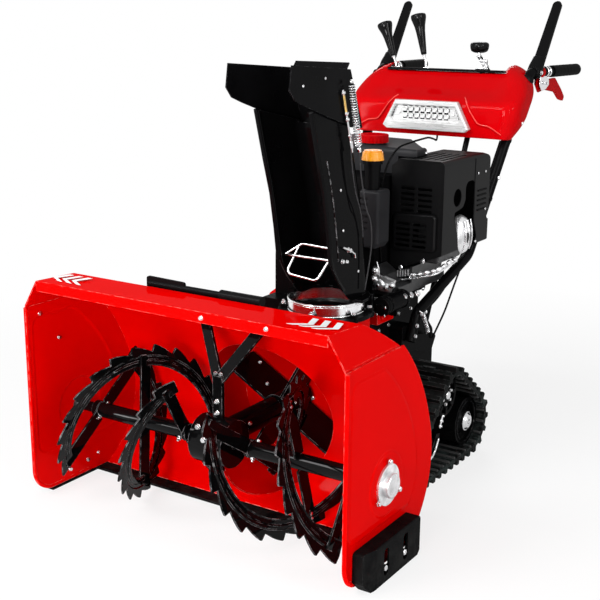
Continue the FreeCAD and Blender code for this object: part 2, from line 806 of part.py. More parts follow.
def wheel(y, z, radius, spokes):
    """Rim, dished disc with holes, and a hub, on the +X side."""
    inner_x, outer_x = track_outer - track_width + wheel_side_gap, track_outer - wheel_side_gap
    face_x = outer_x - 14
    rim = pipe(radius - fit_gap, radius - 9, V(inner_x, y, z), V(outer_x, y, z))
    disc = rod(radius - 8, V(face_x - 6, y, z), V(face_x, y, z))
    for turn in range(spokes):
        hole_y, hole_z = polar((y, z), radius * 0.62, 360 * turn / spokes + 20)
        disc = disc.cut(rod(radius * 0.17, V(face_x - 8, hole_y, hole_z), V(face_x + 2, hole_y, hole_z)))
    hub = rod(hub_radius, V(inner_x, y, z), V(outer_x, y, z))
    hub = hub.fuse(Part.makeCone(hub_radius + 10, hub_radius, 12, V(face_x - 1, y, z), AXIS_X))
    bore = rod(axle_radius + running_gap, V(inner_x - 1, y, z), V(outer_x - 8, y, z))
    return fused([rim, disc, hub]).cut(bore)


def track_wheel_spots():
    return {
        "front_idlers": (setback(front_idler_setback), ground_wheel(front_idler_radius),
                         front_idler_radius),
        "rear_idlers": (setback(rear_idler_setback), ground_wheel(rear_idler_radius), rear_idler_radius),
        "drive_sprockets": (setback(sprocket_setback), sprocket_height, sprocket_radius),
    }


def make_track_wheels(name):
    y, z, radius = track_wheel_spots()[name]
    right = wheel(y, z, radius, 6 if name == "drive_sprockets" else 5)
    return together([right, mirrored(right)])


def make_hub_caps():
    """Bare caps on the outer ends of the rear idlers' hubs."""
    y, z, _ = track_wheel_spots()["rear_idlers"]
    start = track_outer - wheel_side_gap + fit_gap
    rim = rod(hub_cap_radius, V(start, y, z), V(start + 3, y, z))
    crown = Part.makeCone(hub_cap_radius - 2, hub_cap_radius - 9, 7, V(start + 2, y, z), AXIS_X)
    dent = rod(7, V(start + 6, y, z), V(start + 10, y, z))
    right = rim.fuse(crown).cut(dent)
    return together([right, mirrored(right)])


frame_inner = track_outer - track_width - 4 - track_frame_plate


def make_axle(name):
    y, z, _ = track_wheel_spots()[name]
    end = track_outer - wheel_side_gap - 10
    if name == "drive_sprockets":
        return rod(axle_radius, V(-end, y, z), V(end, y, z))
    right = rod(axle_radius, V(frame_inner + track_frame_plate + fit_gap, y, z), V(end, y, z))
    return together([right, mirrored(right)])


def make_track_frame():
    spots = track_wheel_spots()
    front, rear, top = spots["front_idlers"], spots["rear_idlers"], spots["drive_sprockets"]
    corners = [(front[0], front[1] - 26), (rear[0], front[1] - 26), (rear[0] + 30, rear[1] - 10),
               (rear[0] + 24, rear[1] + 26),
               (top[0] + 32, top[1] + 30), (top[0] - 32, top[1] + 30), (front[0] - 26, front[1] + 20)]
    plate = slab([(y, z, 10) for y, z in corners], on_yz, frame_inner, frame_inner + track_frame_plate)
    bore = rod(axle_radius + 0.5, V(frame_inner - 1, top[0], top[1]), V(frame_inner + 20, top[0], top[1]))
    spacers = [rod(14, V(tub_half_width + fit_gap, y, 150), V(frame_inner + 1, y, 150))
               for y in (front[0] + 60, rear[0] - 52)]
    right = fused([plate] + spacers).cut(bore)
    return together([right, mirrored(right)])


# ---------------------------------------------------------------- frame and engine
def tub_form(shrink):
    front, rear = setback(tub_front) + shrink, setback(tub_rear) - shrink
    low, high = tub_bottom + shrink, tub_top - shrink
    corners = [(front, low + 60, 20), (front + 60, low, 20), (rear, low, 20), (rear, high - 90, 20),
               (rear - 90, high, 20), (front, high, 4)]
    return slab(corners, on_yz, -tub_half_width + shrink, tub_half_width - shrink)


def make_tub():
    body = tub_form(0).cut(tub_form(sheet))
    y, z, _ = track_wheel_spots()["drive_sprockets"]
    bore = rod(axle_radius + 0.3, V(-tub_half_width - 1, y, z), V(tub_half_width + 1, y, z))
    return body.cut(bore)


def belt_cover_form(shrink):
    """Arched from the front; its top half keeps clear of the turning chute."""
    front = impeller_housing_back + sheet + fit_gap + shrink
    step = chute_y + 136 + shrink
    back = setback(engine_front) - fit_gap - shrink
    low, shelf = tub_bottom + shrink, tub_top + fit_gap + shrink
    low_back = setback(tub_front) - fit_gap - shrink
    left, right, top = -130 + shrink, belt_cover_right - shrink, bed_height + belt_cover_height - shrink
    arch = slab([(left, low), (right, low), (right, top - 80, 60), (right - 52, top, 60),
                 (left + 50, top, 60),
                 (left, top - 80, 60)], on_xz, front, back)
    side = slab([(front, low), (low_back, low), (low_back, shelf), (back, shelf), (back, top), (step, top),
                 (step, 440 - shrink), (front, 440 - shrink)], on_yz, left, right)
    return arch.common(side)


def make_belt_cover():
    pocket = rod(impeller_shaft_radius + 4, V(0, impeller_housing_back, impeller_height),
                 V(0, impeller_housing_back + 30, impeller_height))
    return belt_cover_form(0).cut(belt_cover_form(sheet)).cut(pocket)


def make_engine_bed():
    low = tub_top + fit_gap
    high = bed_height
    plate = box(-tub_half_width - 20, tub_half_width + 20, setback(engine_front), setback(tub_rear - 96),
                high - 12, high)
    legs = [box(x, x + 8, setback(engine_front), setback(tub_rear - 96), low, high - 12)
            for x in (-tub_half_width, tub_half_width - 8)]
    return fused([plate] + legs)


def make_engine_block():
    base = bed_height + fit_gap
    front = setback(engine_front)
    block = box(-engine_half_width, cover_left - 8, front, front + engine_depth, base, engine_top)
    return block


def cover_form(shrink):
    """The muffler cover's outer or inner form; its floor rises to the right."""
    left, right = cover_left + shrink, cover_left + cover_width - shrink
    low, high = cover_bottom + shrink, cover_top - shrink
    front, back = setback(cover_front) + shrink, setback(cover_front + cover_depth) - shrink
    across = slab([(left, low, 4), (right, low + 56, 6), (right, high, 14), (left + 22, high, 4),
                   (left, high - 18, 4)],
                  on_xz, front, back)
    along = slab([(front, low), (back - 40, low), (back, low + 46, 20), (back, high - 10, 20),
                  (back - 30, high, 20),
                  (front, high)], on_yz, left, right)
    return across.common(along)


def louvres(x, top, length, count):
    """A column of level slots through the cover's front wall."""
    front = setback(cover_front)
    places = [top - louvre_pitch * index for index in range(count)]
    return [box(x, x + length, front - 2 * pad_height, front + 2 * cover_wall, z - louvre_height,
                z) for z in places]


def make_muffler_cover():
    """Slotted cover over the muffler, with a pressed pad, and open at the side for the exhaust elbow."""
    front, right = setback(cover_front), cover_left + cover_width
    pad = slab([(cover_left + 10, cover_bottom + 60, 10), (right - 16, cover_bottom + 66, 10),
                (right - 16, cover_bottom + 160, 10), (cover_left + 10, cover_bottom + 154, 10)],
               on_xz, front - pad_height, front + cover_wall)
    pad = softened(pad, 5, lambda edge: edge.BoundBox.YMax < front - pad_height + 0.01)
    hollow_pad = slab([(cover_left + 16, cover_bottom + 66, 6), (right - 22, cover_bottom + 72, 6),
                       (right - 22, cover_bottom + 154, 6), (cover_left + 16, cover_bottom + 148, 6)],
                      on_xz, front - pad_height + cover_wall, front + cover_wall + 1)
    shell = cover_form(0).fuse(pad).cut(cover_form(cover_wall)).cut(hollow_pad)
    cuts = louvres(cover_left + 28, cover_top - 70, 38, 5) + louvres(cover_left + 75, cover_top - 70, 40, 5)
    cuts += louvres(cover_left + 20, cover_bottom + 134, 40, 5) + louvres(cover_left + 68,
                                                                          cover_bottom + 134, 38, 5)
    for index in range(5):
        x = cover_left + 42 + 20 * index
        cuts.append(box(x, x + 8, front + 22, front + 170, cover_top - 2 * cover_wall, cover_top + 1))
    hole_y, hole_z = setback(839), cover_bottom + 195
    cuts.append(rod(23, V(right - 12, hole_y, hole_z), V(right + 1, hole_y, hole_z)))
    opening = [(886, 230, 20), (944, 230, 20), (947, 120, 8), (966, 76, 16), (962, 40, 16), (900, 20, 20),
               (858, 40, 16), (846, 100, 20), (822, 142, 8), (826, 158, 6), (874, 166, 16), (888, 184, 16)]
    cuts.append(slab([(setback(along), cover_bottom + up, r) for along, up, r in opening], on_yz,
                     right - 12, right + 1))
    cuts.append(box(right - 12, right + 1, setback(941), setback(944), cover_bottom, cover_bottom + 60))
    back = setback(cover_front + cover_depth)
    cuts.append(rod(11, V(right - 14, back, cover_bottom + 124), V(right + 1, back, cover_bottom + 124)))
    cuts.append(exhaust_room())
    for cut in cuts:
        shell = shell.cut(cut)
    return shell


def make_fuel_tank():
    low, step, high = engine_top + fit_gap, cover_top + fit_gap, engine_top + tank_height
    front, back = setback(800), setback(1010)
    across = slab([(-175, low, 12), (cover_left - 6, low, 4), (cover_left - 6, step), (160, step, 3),
                   (160, high - 6, 8), (-175, high, 24)], on_xz, front, back)
    along = slab([(front, low), (back, low), (back, high, 20), (front, high, 20)], on_yz, -200, 200)
    corner = slab([(30, back + 1), (170, back + 1), (170, front + 56), (146, front + 56)], on_xy,
                  low - 1, high + 1)
    neck = rod(33, V(4, setback(850), high - 10), V(4, setback(850), high))
    return fused([across.common(along).cut(corner), neck])


def fluted(radius, depth, count, low, high):
    """An upright knob with flutes down its side and a softened top."""
    knob = softened(rod(radius, low, high), 3, lambda edge: edge.BoundBox.ZMin > high.z - 0.01)
    for turn in range(count):
        x, y = polar((low.x, low.y), radius + depth, 360 * turn / count)
        knob = knob.cut(rod(2 * depth, V(x, y, low.z - 1), V(x, y, high.z - 4)))
    return knob


def make_fuel_cap():
    low = V(4, setback(850), engine_top + tank_height + fit_gap)
    return fluted(40, 1.5, 24, low, low + AXIS_Z * 21)


def filler_spot(z):
    return V(filler_x, setback(engine_front) - 32, z)


def make_oil_filler():
    """The oil filler's neck, wider towards its collar."""
    low, high = filler_spot(filler_neck_top - filler_neck_height), filler_spot(filler_neck_top)
    neck = Part.makeCone(18, 21, filler_neck_height - 8, low, AXIS_Z)
    return fused([neck, rod(25, high - AXIS_Z * 9, high)])


def make_oil_cap():
    low = filler_spot(filler_neck_top + fit_gap)
    skirt = Part.makeCone(28, 25, 20, low, AXIS_Z)
    cap = skirt
    for turn in range(18):
        x, y = polar((low.x, low.y), 29, 20 * turn)
        cap = cap.cut(rod(2.2, V(x, y, low.z - 1), V(x, y, low.z + 16)))
    return cap.fuse(rod(22, low + AXIS_Z * 19, low + AXIS_Z * 24))


def make_filler_base():
    """Side cover under the oil filler, with a bank of slots."""
    back = setback(engine_front) - fit_gap
    front, high = back - 58, filler_neck_top - filler_neck_height - fit_gap
    left, right = belt_cover_right + fit_gap, filler_x + 33
    low = bed_height + 126
    body = slab([(left, low), (right - 10, low, 4), (right, low + 14, 4), (right, high, 8), (left, high)],
                on_xz, front, back)
    body = softened(body, 8, lambda edge: edge.BoundBox.XMin > right - 1 and edge.BoundBox.YMax < front + 1
                    and edge.BoundBox.ZLength > 40)
    for index in range(6):
        z = high - 18 - 15 * index
        body = body.cut(box(left - 1, left + 22, front - 1, front + 5, z - 6, z))
    return body


def make_recoil():
    """Round cover of the starter's pulley at the engine's rear, with slots and a pull handle."""
    back = setback(engine_front + engine_depth) + fit_gap
    x, z = -20, bed_height + 158
    body = rod(112, V(x, back, z), V(x, back + 44, z))
    body = body.fuse(Part.makeCone(112, 92, 24, V(x, back + 43, z), AXIS_Y))
    for turn in range(16):
        slot = box(-5, 5, back + 58, back + 80, 44, 84)
        slot.translate(V(x, 0, z))
        slot.rotate(V(x, 0, z), AXIS_Y, 22.5 * turn)
        body = body.cut(slot)
    grip = rod(9, V(x + 66, back + 66, z + 96), V(x + 66, back + 66, z + 126))
    arm = box(x + 58, x + 74, back + 20, back + 74, z + 84, z + 98)
    return fused([body, arm, grip])


# ---------------------------------------------------------------- handles and dash
dash_front = setback(dash_setback)
grip_end = overall_length / 2
bar_bend = (setback(handle_bend_setback), handle_grip_z)
bar_knee = (setback(1052), 498.0)
bar_foot = (setback(716), 330.0)


def handle_points():
    return [V(handle_low_x, *bar_foot), V(handle_low_x, setback(752), 400), V(handle_low_x, *bar_knee),
            V(handle_bend_x, *bar_bend), V(handle_grip_x, grip_end - 4, handle_grip_z)]


def make_handle():
    """Bent tube on the +X side, with the foot that bolts it to the transmission case."""
    foot = slab([(bar_foot[0] - 20, bar_foot[1] - 26, 8), (bar_foot[0] + 34, bar_foot[1] - 26, 8),
                 (bar_foot[0] + 34, bar_foot[1] + 40, 8), (bar_foot[0] - 20, bar_foot[1] + 40, 8)], on_yz,
                tub_half_width + fit_gap, handle_low_x - handle_radius + 2)
    tube = bent_pipe(handle_points(), handle_radius, handle_wall, handle_bend_radius)
    inside = bent_rod(handle_points(), handle_radius - handle_wall, handle_bend_radius)
    return fused([tube, foot.cut(inside)])


def make_grip():
    """Rubber sleeve with a closed end."""
    bend, tip = handle_points()[-2:]
    along = (tip - bend).normalize()
    core = rod(handle_radius + fit_gap, tip - along * (grip_length + 1), tip + along * fit_gap)
    right = rod(grip_radius, tip - along * grip_length, tip + along * 3).cut(core)
    return together([right, mirrored(right)])


def dash_form(shrink, open_rear):
    """The cowl's outer or inner form: a leaning front, rounded shoulders and an open back."""
    low, high = dash_bottom, dash_top - shrink
    rear = open_rear
    corners = [(dash_front + shrink, low - rear), (dash_front + shrink, low + 92, 30),
               (dash_front + 50 + shrink, low + 132, 60), (dash_front + 120 + shrink, high, 30),
               (setback(dash_rear_setback) + rear, high), (setback(dash_rear_setback) + rear, high - 14),
               (setback(1300) + rear, low + 126), (setback(1200) + rear, low - rear)]
    along = slab(corners, on_yz, -dash_half_width + shrink, dash_half_width - shrink)
    half = dash_half_width - shrink
    across = slab([(-half + 24, low - rear), (half - 24, low - rear), (half, low + 58, 80),
                   (half, high, shoulder_radius),
                   (-half, high, shoulder_radius), (-half, low + 58, 80)], on_xz, dash_front - 1,
                  setback(dash_rear_setback) + 2 * rear + 1)
    return along.common(across)


def tube_spot(z):
    """Centre of the +X handle tube at this height, on its slope below the dash."""
    share = (z - bar_knee[1]) / (bar_bend[1] - bar_knee[1])
    return V(handle_low_x + (handle_bend_x - handle_low_x) * share,
             bar_knee[0] + (bar_bend[0] - bar_knee[0]) * share, z)


def tube_room(radius):
    """The space that both handle tubes need where they pass through the cowl."""
    right = bent_rod(handle_points(), radius, handle_bend_radius)
    return right.fuse(mirrored(right))


def make_dash():
    """Open-backed cowl around the handle tubes, lower in its middle, where the control plate lies."""
    shell = dash_form(0, 0).cut(dash_form(sheet, 60))
    shell = shell.cut(control_plate_box(fit_gap, 60)).cut(tube_room(shoulder_hole))
    rim = slab([(-plate_half_width - 3, dash_top - 24), (plate_half_width + 3, dash_top - 24),
                (plate_half_width + 3, dash_top - 14), (-plate_half_width - 3, dash_top - 14)], on_xz,
               setback(1268) - 3, setback(1268) - fit_gap)
    pieces = [shell, rim.common(dash_form(0, 0))]
    for z in (850, 910):
        spot = tube_spot(z)
        tab = box(spot.x - 4, dash_half_width, spot.y - 36, spot.y + 4, z - 4, z + 4)
        tab = tab.common(dash_form(sheet / 2, 60)).cut(tube_room(handle_radius + fit_gap))
        pieces += [tab, mirrored(tab)]
    return fused(pieces)


def control_plate_box(gap, extra):
    return box(-plate_half_width - gap, plate_half_width + gap, setback(1268) - gap,
               setback(dash_rear_setback) + gap,
               dash_top - 19, dash_top - 15 + extra)


def make_control_plate():
    bar_z = dash_top - 75
    spot = tube_spot(bar_z)
    reach = spot.x - handle_radius / 2
    cross = box(-reach, reach, spot.y - 8, spot.y + 8, bar_z - 3, bar_z + 3)
    cross = cross.cut(tube_room(handle_radius + fit_gap))
    posts = [box(x - 8, x + 8, spot.y - 8, spot.y + 8, bar_z, dash_top - 19) for x in (-140, 140)]
    return fused([control_plate_box(0, 0), cross] + posts)


def make_lamp():
    """Bevelled lamp frame with a sunk lens and two rows of small lights."""
    back = dash_front - fit_gap
    front = back - 18
    outline = [(-124, 822), (124, 822), (138, 832), (98, 907), (-98, 907), (-138, 832)]
    body = slab([(x, z, 4) for x, z in outline], on_xz, front, back)
    body = softened(body, 4, lambda edge: edge.BoundBox.YMax < front + 0.01)
    lens = slab([(-112, 852, 4), (112, 852, 4), (94, 892, 4), (-94, 892, 4)], on_xz, front - 1, front + 4)
    body = body.cut(lens)
    lights = []
    for column in range(8):
        for z in (863, 881):
            x = -66 + 132 * column / 7
            lights.append(rod(6, V(x, front + 1, z), V(x, front + 5, z)))
    return fused([body] + lights)


def make_paddles():
    """Flat clutch levers that stand up and back beside the grips."""
    bend, tip = handle_points()[-2:]
    along = (tip - bend).normalize()
    middle = bend + along * (paddle_setback / along.y)
    clamp = pipe(handle_radius + 5, handle_radius + fit_gap, middle - along * 9, middle + along * 9)
    low = middle + V(0, 0, -12)
    high = middle + V(4, paddle_lean, paddle_height)
    length = (high - low).Length
    blade = slab([(-17, 0, 8), (17, 0, 8), (13, length, 12.9), (-13, length, 12.9)], on_xz,
                 -paddle_thickness / 2, paddle_thickness / 2)
    blade.Placement = FreeCAD.Placement(low, FreeCAD.Rotation(AXIS_Z, high - low))
    blade = blade.cut(rod(handle_radius + 2, middle - along * 30, middle + along * 30))
    right = fused([blade, clamp])
    return together([right, mirrored(right)])


def lever(x, length, lean_x, lean_y):
    """A thin stem with a hand grip that widens to a flat head."""
    profile = [(0, 0), (4, 0), (4, 0.22), (9, 0.24), (12, 0.5), (14, 0.8), (23, 0.94), (23, 0.97),
               (19, 1), (0, 1)]
    face = Part.Face(Part.makePolygon([V(r, 0, share * length) for r, share in profile + profile[:1]]))
    shape = face.revolve(ORIGIN, AXIS_Z, 360)
    low = V(x, setback(1305), dash_top - 15 + fit_gap)
    shape.Placement = FreeCAD.Placement(low, FreeCAD.Rotation(AXIS_Z, V(lean_x, lean_y, length)))
    floor = box(-dash_half_width, dash_half_width, setback(1200), setback(1400), low.z - 20, low.z)
    return shape.cut(floor)


def make_shift_levers():
    return together([lever(-178, 142, -58, 14), lever(-78, 162, -40, 12)])


def make_joystick():
    """Chute control: a flat knob on a bent wire stem."""
    low = V(104, setback(1312), dash_top - 15 + fit_gap)
    stem = bent_rod([low, low + V(4, 0, 14), low + V(-16, 4, 26), low + V(-18, 6, 64)], 3, 8)
    foot = Part.makeCone(17, 9, 9, low, AXIS_Z)
    profile = [(0, 50), (12, 50), (27, 60), (29, 68), (26, 74), (14, 79), (0, 80)]
    face = Part.Face(Part.makePolygon([V(r, 0, z) for r, z in profile + profile[:1]]))
    knob = face.revolve(ORIGIN, AXIS_Z, 360).translated(V(low.x - 17, low.y + 5, low.z))
    floor = box(low.x - 60, low.x + 60, low.y - 60, low.y + 60, low.z - 20, low.z)
    return fused([stem, foot, knob]).cut(floor)


def make_triggers():
    """Steering triggers under the grips, each hung in a bent bracket round the tube."""
    bend, tip = handle_points()[-2:]
    along = (tip - bend).normalize()
    middle = bend + along * (trigger_setback / along.y)
    clamp = pipe(handle_radius + 3, handle_radius + fit_gap, middle - along * 7, middle + along * 7)
    x, y, z = middle.x, middle.y, handle_grip_z
    ear = slab([(y - 8, z - 13, 3), (y + 10, z - 13), (y + 56, z - 26, 8), (y + 42, z - 52, 8),
                (y - 2, z - 58, 8),
                (y - 22, z - 38, 6)], on_yz, x - 3, x)
    blade = slab([(y + 33, z - 24, 6), (y + 112, z - 20, 10), (y + 168, z - 56, 10), (y + 198, z - 80, 6),
                  (y + 188, z - 92, 4), (y + 158, z - 86, 10), (y + 118, z - 62, 10), (y + 40, z - 52, 8)],
                 on_yz, x - 0.5, x + trigger_thickness)
    plates = ear.fuse(blade).cut(rod(handle_radius + 1.5, bend, tip))
    right = fused([clamp, plates])
    return together([right, mirrored(right)])


def make_shift_rod():
    """Link from the control plate's underside down to an arm on the transmission case."""
    low = V(102, setback(tub_rear + 49), 300)
    high = V(114, setback(1290), 1000)
    arm = box(low.x - 10, low.x + 10, setback(tub_rear) + fit_gap, low.y + 6, low.z - 16, low.z)
    above = box(0, 200, setback(1200), setback(1400), dash_top - 19 - fit_gap, dash_top + 40)
    return fused([rod(8, low, high), arm]).cut(above)


# ---------------------------------------------------------------- pieces that finish the machine
def make_bracket():
    """Y-shaped stay from the gearbox up to the drum's roof."""
    stem_low = auger_height + gearbox_radius - 3
    foot_y, fork_z = setback(168), 350.0
    stem = box(-13, 13, foot_y - 5, foot_y + 5, stem_low, fork_z)
    pieces = [stem]
    for side in (-1, 1):
        low, high = V(0, foot_y, fork_z - 12), V(side * 96, setback(236), 485)
        bar = slab([(-13, 0), (13, 0), (13, (high - low).Length), (-13, (high - low).Length)], on_xz, -4, 4)
        turn = FreeCAD.Rotation(AXIS_Z, high - low)
        bar.Placement = FreeCAD.Placement(low, turn)
        pieces.append(bar)
    whole = fused(pieces)
    roof = drum_solid(-sheet - fit_gap, half_width, 20)
    whole = whole.common(roof)
    body = rod(gearbox_radius + fit_gap, V(-60, auger_y, auger_height), V(60, auger_y, auger_height))
    return whole.cut(body)


def make_guard():
    """Bent wire frame across the foot of the chute: a crossing rod with two bent loops."""
    y, z = chute_y - 77, chute_low + 108
    half = chute_width / 2 - chute_wall - fit_gap
    left, right = chute_offset - half, chute_offset + half
    bar = rod(3, V(left, y, z), V(right, y, z))
    low_loop = bent_rod([V(left + 34, y + 16, z + 26), V(left + 16, y - 16, z - 40),
                         V(right - 40, y - 16, z - 48), V(right - 8, y + 16, z + 22)], 3, 14)
    high_loop = bent_rod([V(left + 4, y, z + 2), V(left + 40, y + 16, z + 27),
                          V(right - 4, y + 16, z + 23)], 3, 14)
    return fused([bar, low_loop, high_loop])


def make_spring():
    """Return spring of the deflector, a close-wound coil in outline."""
    x = chute_offset + chute_width / 2 + deflector_play + deflector_wall + 14
    low, high = V(x, chute_y - 24, 852), V(x, chute_y - 64, 1001)
    axis = high - low
    turns = 24
    pitch = axis.Length / turns
    outline = [V(0, 0, 0)]
    for turn in range(turns):
        outline += [V(9, 0, pitch * (turn + 0.02)), V(9, 0, pitch * (turn + 0.6)),
                    V(7, 0, pitch * (turn + 0.8))]
    outline.append(V(0, 0, axis.Length))
    outline.append(V(0, 0, 0))
    coil = Part.Face(Part.makePolygon(outline)).revolve(ORIGIN, AXIS_Z, 360)
    coil.Placement = FreeCAD.Placement(low, FreeCAD.Rotation(AXIS_Z, axis))
    lug = box(chute_offset + chute_width / 2 + fit_gap, x + 3, low.y - 3, low.y + 3, low.z - 8, low.z + 2)
    return fused([coil, lug])


def make_hitch():
    """Red lugs that join the housing to the tractor, each with its bolt."""
    inner, outer = tub_half_width - 10, tub_half_width + 14
    low = tub_top + fit_gap
    lug = slab([(setback(606), low), (setback(719), low), (setback(712), low + 24, 8),
                (setback(660), low + 30, 12),
                (setback(640), low + 44, 8), (setback(606), low + 36, 8)], on_yz, inner, outer)
    lug = lug.cut(box(inner - 1, tub_half_width + 20 + fit_gap, setback(engine_front) - fit_gap, 0, 0,
                      2 * low)
                  .common(box(inner - 1, outer + 1, setback(engine_front) - fit_gap, setback(800),
                              low - 1, 2 * low)))
    bolt = rod(9, V(outer, setback(624), low + 22), V(outer + 7, setback(624), low + 22))
    right = lug.fuse(bolt)
    return together([right, mirrored(right)])


def make_crankcase():
    """Cast foot of the engine, with fins, and its bulging exhaust elbow."""
    left, base = cover_left - 8 + fit_gap, bed_height + fit_gap
    right = handle_low_x - handle_radius - 4
    front = setback(engine_front - 10)
    back = setback(engine_front + engine_depth)
    foot = box(left, right, front, back, base, base + 24)
    nose = slab([(left, base + 20), (right - 30, base + 20, 4), (right - 42, base + 50, 8),
                 (left, base + 74, 4)],
                on_xz, front, setback(cover_front) - pad_height - fit_gap)
    pieces = [foot, nose]
    for index in range(5):
        x = left + 12 + 15 * index
        top = cover_bottom + (x - cover_left) * 56 / cover_width - fit_gap - 4
        pieces.append(box(x, x + 6, front + 70, back - 20, base + 20, top))
    bulge = exhaust_bend()
    bulge.x = cover_left + cover_width - elbow_radius + 5
    elbow = Part.makeSphere(elbow_radius, bulge)
    stub = rod(elbow_radius, V(left + 30, bulge.y, bulge.z), bulge)
    leg = rod(exhaust_radius, exhaust_bend(), V(exhaust_bend().x, bulge.y, base + 10))
    pieces += [elbow.fuse(stub), leg]
    whole = fused(pieces)
    return whole.cut(cover_walls())


def exhaust_bend():
    """Where the exhaust pipe turns from upright to the side."""
    x = handle_low_x - handle_radius - exhaust_radius - 5
    return V(x, setback(elbow_setback), cover_bottom + 82)


def exhaust_room():
    bend = exhaust_bend()
    return rod(exhaust_radius + 1, V(bend.x, bend.y, cover_bottom - 5),
               V(bend.x, bend.y, cover_bottom + 64))


def cover_walls():
    """The cover's own walls, grown by the fit, so that the casting keeps clear of them."""
    grown = cover_form(-fit_gap).cut(cover_form(cover_wall + fit_gap))
    right = cover_left + cover_width
    window = box(right - 12, right + 5, setback(862), setback(960), cover_bottom + 36, cover_bottom + 128)
    return grown.cut(window).cut(exhaust_room())


def make_air_box():
    left = -engine_half_width - fit_gap
    return slab([(left - 74, 560, 14), (left, 560), (left, 700), (left - 74, 700, 20)], on_xz,
                setback(engine_front + 40), setback(engine_front + 200))


def make_chute_drive():
    """Cylinder beside the ring that turns the chute, on a bracket from the engine bed."""
    x, z = 196, collar_height - 8
    start, end = setback(564), setback(engine_front - 14)
    pieces = [rod(23, V(x, start, z), V(x, end, z))]
    for y in (start + 8, start + 22, end - 14):
        pieces.append(rod(24.5, V(x, y, z), V(x, y + 6, z)))
    pieces.append(rod(9, V(x, start - 8, z), V(x, start + 1, z)))
    foot = box(tub_half_width + 22, x, end - 30, end - 22, min(bed_height - 40, z), max(bed_height, z))
    arm = box(tub_half_width + 20 + fit_gap, tub_half_width + 28, end - 30, setback(engine_front + 40),
              bed_height - 12, bed_height)
    return fused(pieces + [foot, arm])


def make_clean_out_tool():
    """Shovel-ended bar clipped along the drum's back, behind the top plate."""
    y, z = setback(top_depth + 16), housing_height - 2
    bar = rod(7, V(-172, y, z), V(126, y, z))
    blade = slab([(-180, z - 22, 6), (-70, z - 14, 6), (-70, z + 14, 6), (-180, z + 16, 6)], on_xz, y - 3,
                 y + 3)
    grip = rod(12, V(30, y, z), V(140, y, z))
    clips = [rod(4, V(x, y, z), V(x, y - 4, z - 30)) for x in (-40, 10)]
    whole = fused([bar, blade, grip] + clips)
    return whole.cut(drum_solid(fit_gap, half_width, 0))


def make_side_flaps():
    """Dark plates beside the transmission, above the tracks."""
    inner = frame_inner - 6
    plate = slab([(setback(756), 290, 6), (setback(900), 254, 6), (setback(926), 292, 6),
                  (setback(905), 304, 6),
                  (setback(756), 330, 6)], on_yz, inner, inner + 4)
    tabs = [rod(7, V(tub_half_width + fit_gap, setback(y), z), V(inner + 1, setback(y), z))
            for y, z in ((790, 302), (880, 282))]
    right = fused([plate] + tabs)
    return together([right, mirrored(right)])


def cable(points, radius=2.6):
    """A held cable: straight runs joined by arcs as large as the runs allow."""
    corners = [V(x, setback(y), z) for x, y, z in points]
    return bent_rod(corners, radius, 1e4)


def make_control_cables():
    """Cables from the cowl down to the engine and the transmission."""
    engine_run = cable([(24, 1192, 842), (26, 1186, 800), (46, 1140, 797), (78, 1062, 810), (104, 975, 824),
                        (128, 900, 829), (139, 815, 829), (135, 745, 822), (128, 708, 790), (114, 702, 735),
                        (106.9, 706, 670), (106.9, 710, 600), (109, 718, 527)])
    beside = handle_radius + 2.6 + fit_gap
    high, low = tube_spot(800) - AXIS_X * beside, tube_spot(540) - AXIS_X * beside
    side_run = cable([(high.x, high.y - front_y, high.z), (low.x, low.y - front_y, low.z), (177, 1044, 480),
                      (168, 1004, 428), (152, 968, 384), (128, tub_rear + 1, 352)])
    brake_run = cable([(200, 1000, 463), (199, 968, 424), (194, 932, 364), (184, 908, 320),
                       (174.9, 896, 290)])
    return together([engine_run, side_run, brake_run])


# ---------------------------------------------------------------- everything, written out
os.makedirs("parts", exist_ok=True)

save("auger_housing", make_auger_housing())
plate = make_side_plate()
save("side_plate_right", plate)
save("side_plate_left", mirrored(plate))
save("scraper_bar", make_scraper())
skid = make_skid()
save("skid_shoes", together([skid, mirrored(skid)]))
bearing = make_bearing()
save("auger_bearings", together([bearing, mirrored(bearing)]))
save("auger_shaft", make_auger_shaft())
save("auger_right", make_auger_side(auger_phase_right))
save("auger_left", mirrored(make_auger_side(0)))
save("gearbox", make_gearbox())
save("impeller", make_impeller())
save("impeller_housing", make_impeller_housing())
save("chute_flange", make_chute_flange())
save("chute_ring", make_chute_ring())
save("chute", make_chute())
save("deflector", make_deflector())
track = make_track()
save("track_right", track)
save("track_left", mirrored(track))
for wheels_name in track_wheel_spots():
    save(wheels_name, make_track_wheels(wheels_name))
save("hub_caps", make_hub_caps())
save("drive_axle", make_axle("drive_sprockets"))
save("idler_axles", together([make_axle("front_idlers"), make_axle("rear_idlers")]))
save("track_frames", make_track_frame())
save("tub", make_tub())
save("belt_cover", make_belt_cover())
save("engine_bed", make_engine_bed())
save("engine_block", make_engine_block())
save("muffler_cover", make_muffler_cover())
save("fuel_tank", make_fuel_tank())
save("fuel_cap", make_fuel_cap())
save("oil_neck", make_oil_filler())
save("oil_cap", make_oil_cap())
save("filler_base", make_filler_base())
save("recoil_starter", make_recoil())
handle = make_handle()
save("handlebar_right", handle)
save("handlebar_left", mirrored(handle))
save("grips", make_grip())
save("dash_panel", make_dash())
save("headlamp", make_lamp())
save("clutch_paddles", make_paddles())
save("control_plate", make_control_plate())
save("shift_levers", make_shift_levers())
save("joystick", make_joystick())
save("trigger_levers", make_triggers())
save("shift_rod", make_shift_rod())
save("gearbox_bracket", make_bracket())
save("chute_guard", make_guard())
save("deflector_spring", make_spring())
save("hitch_lugs", make_hitch())
save("crankcase", make_crankcase())
save("air_box", make_air_box())
save("chute_drive", make_chute_drive())
save("clean_out_tool", make_clean_out_tool())
save("side_flaps", make_side_flaps())
save("control_cables", make_control_cables())
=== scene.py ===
import json
import math
import random

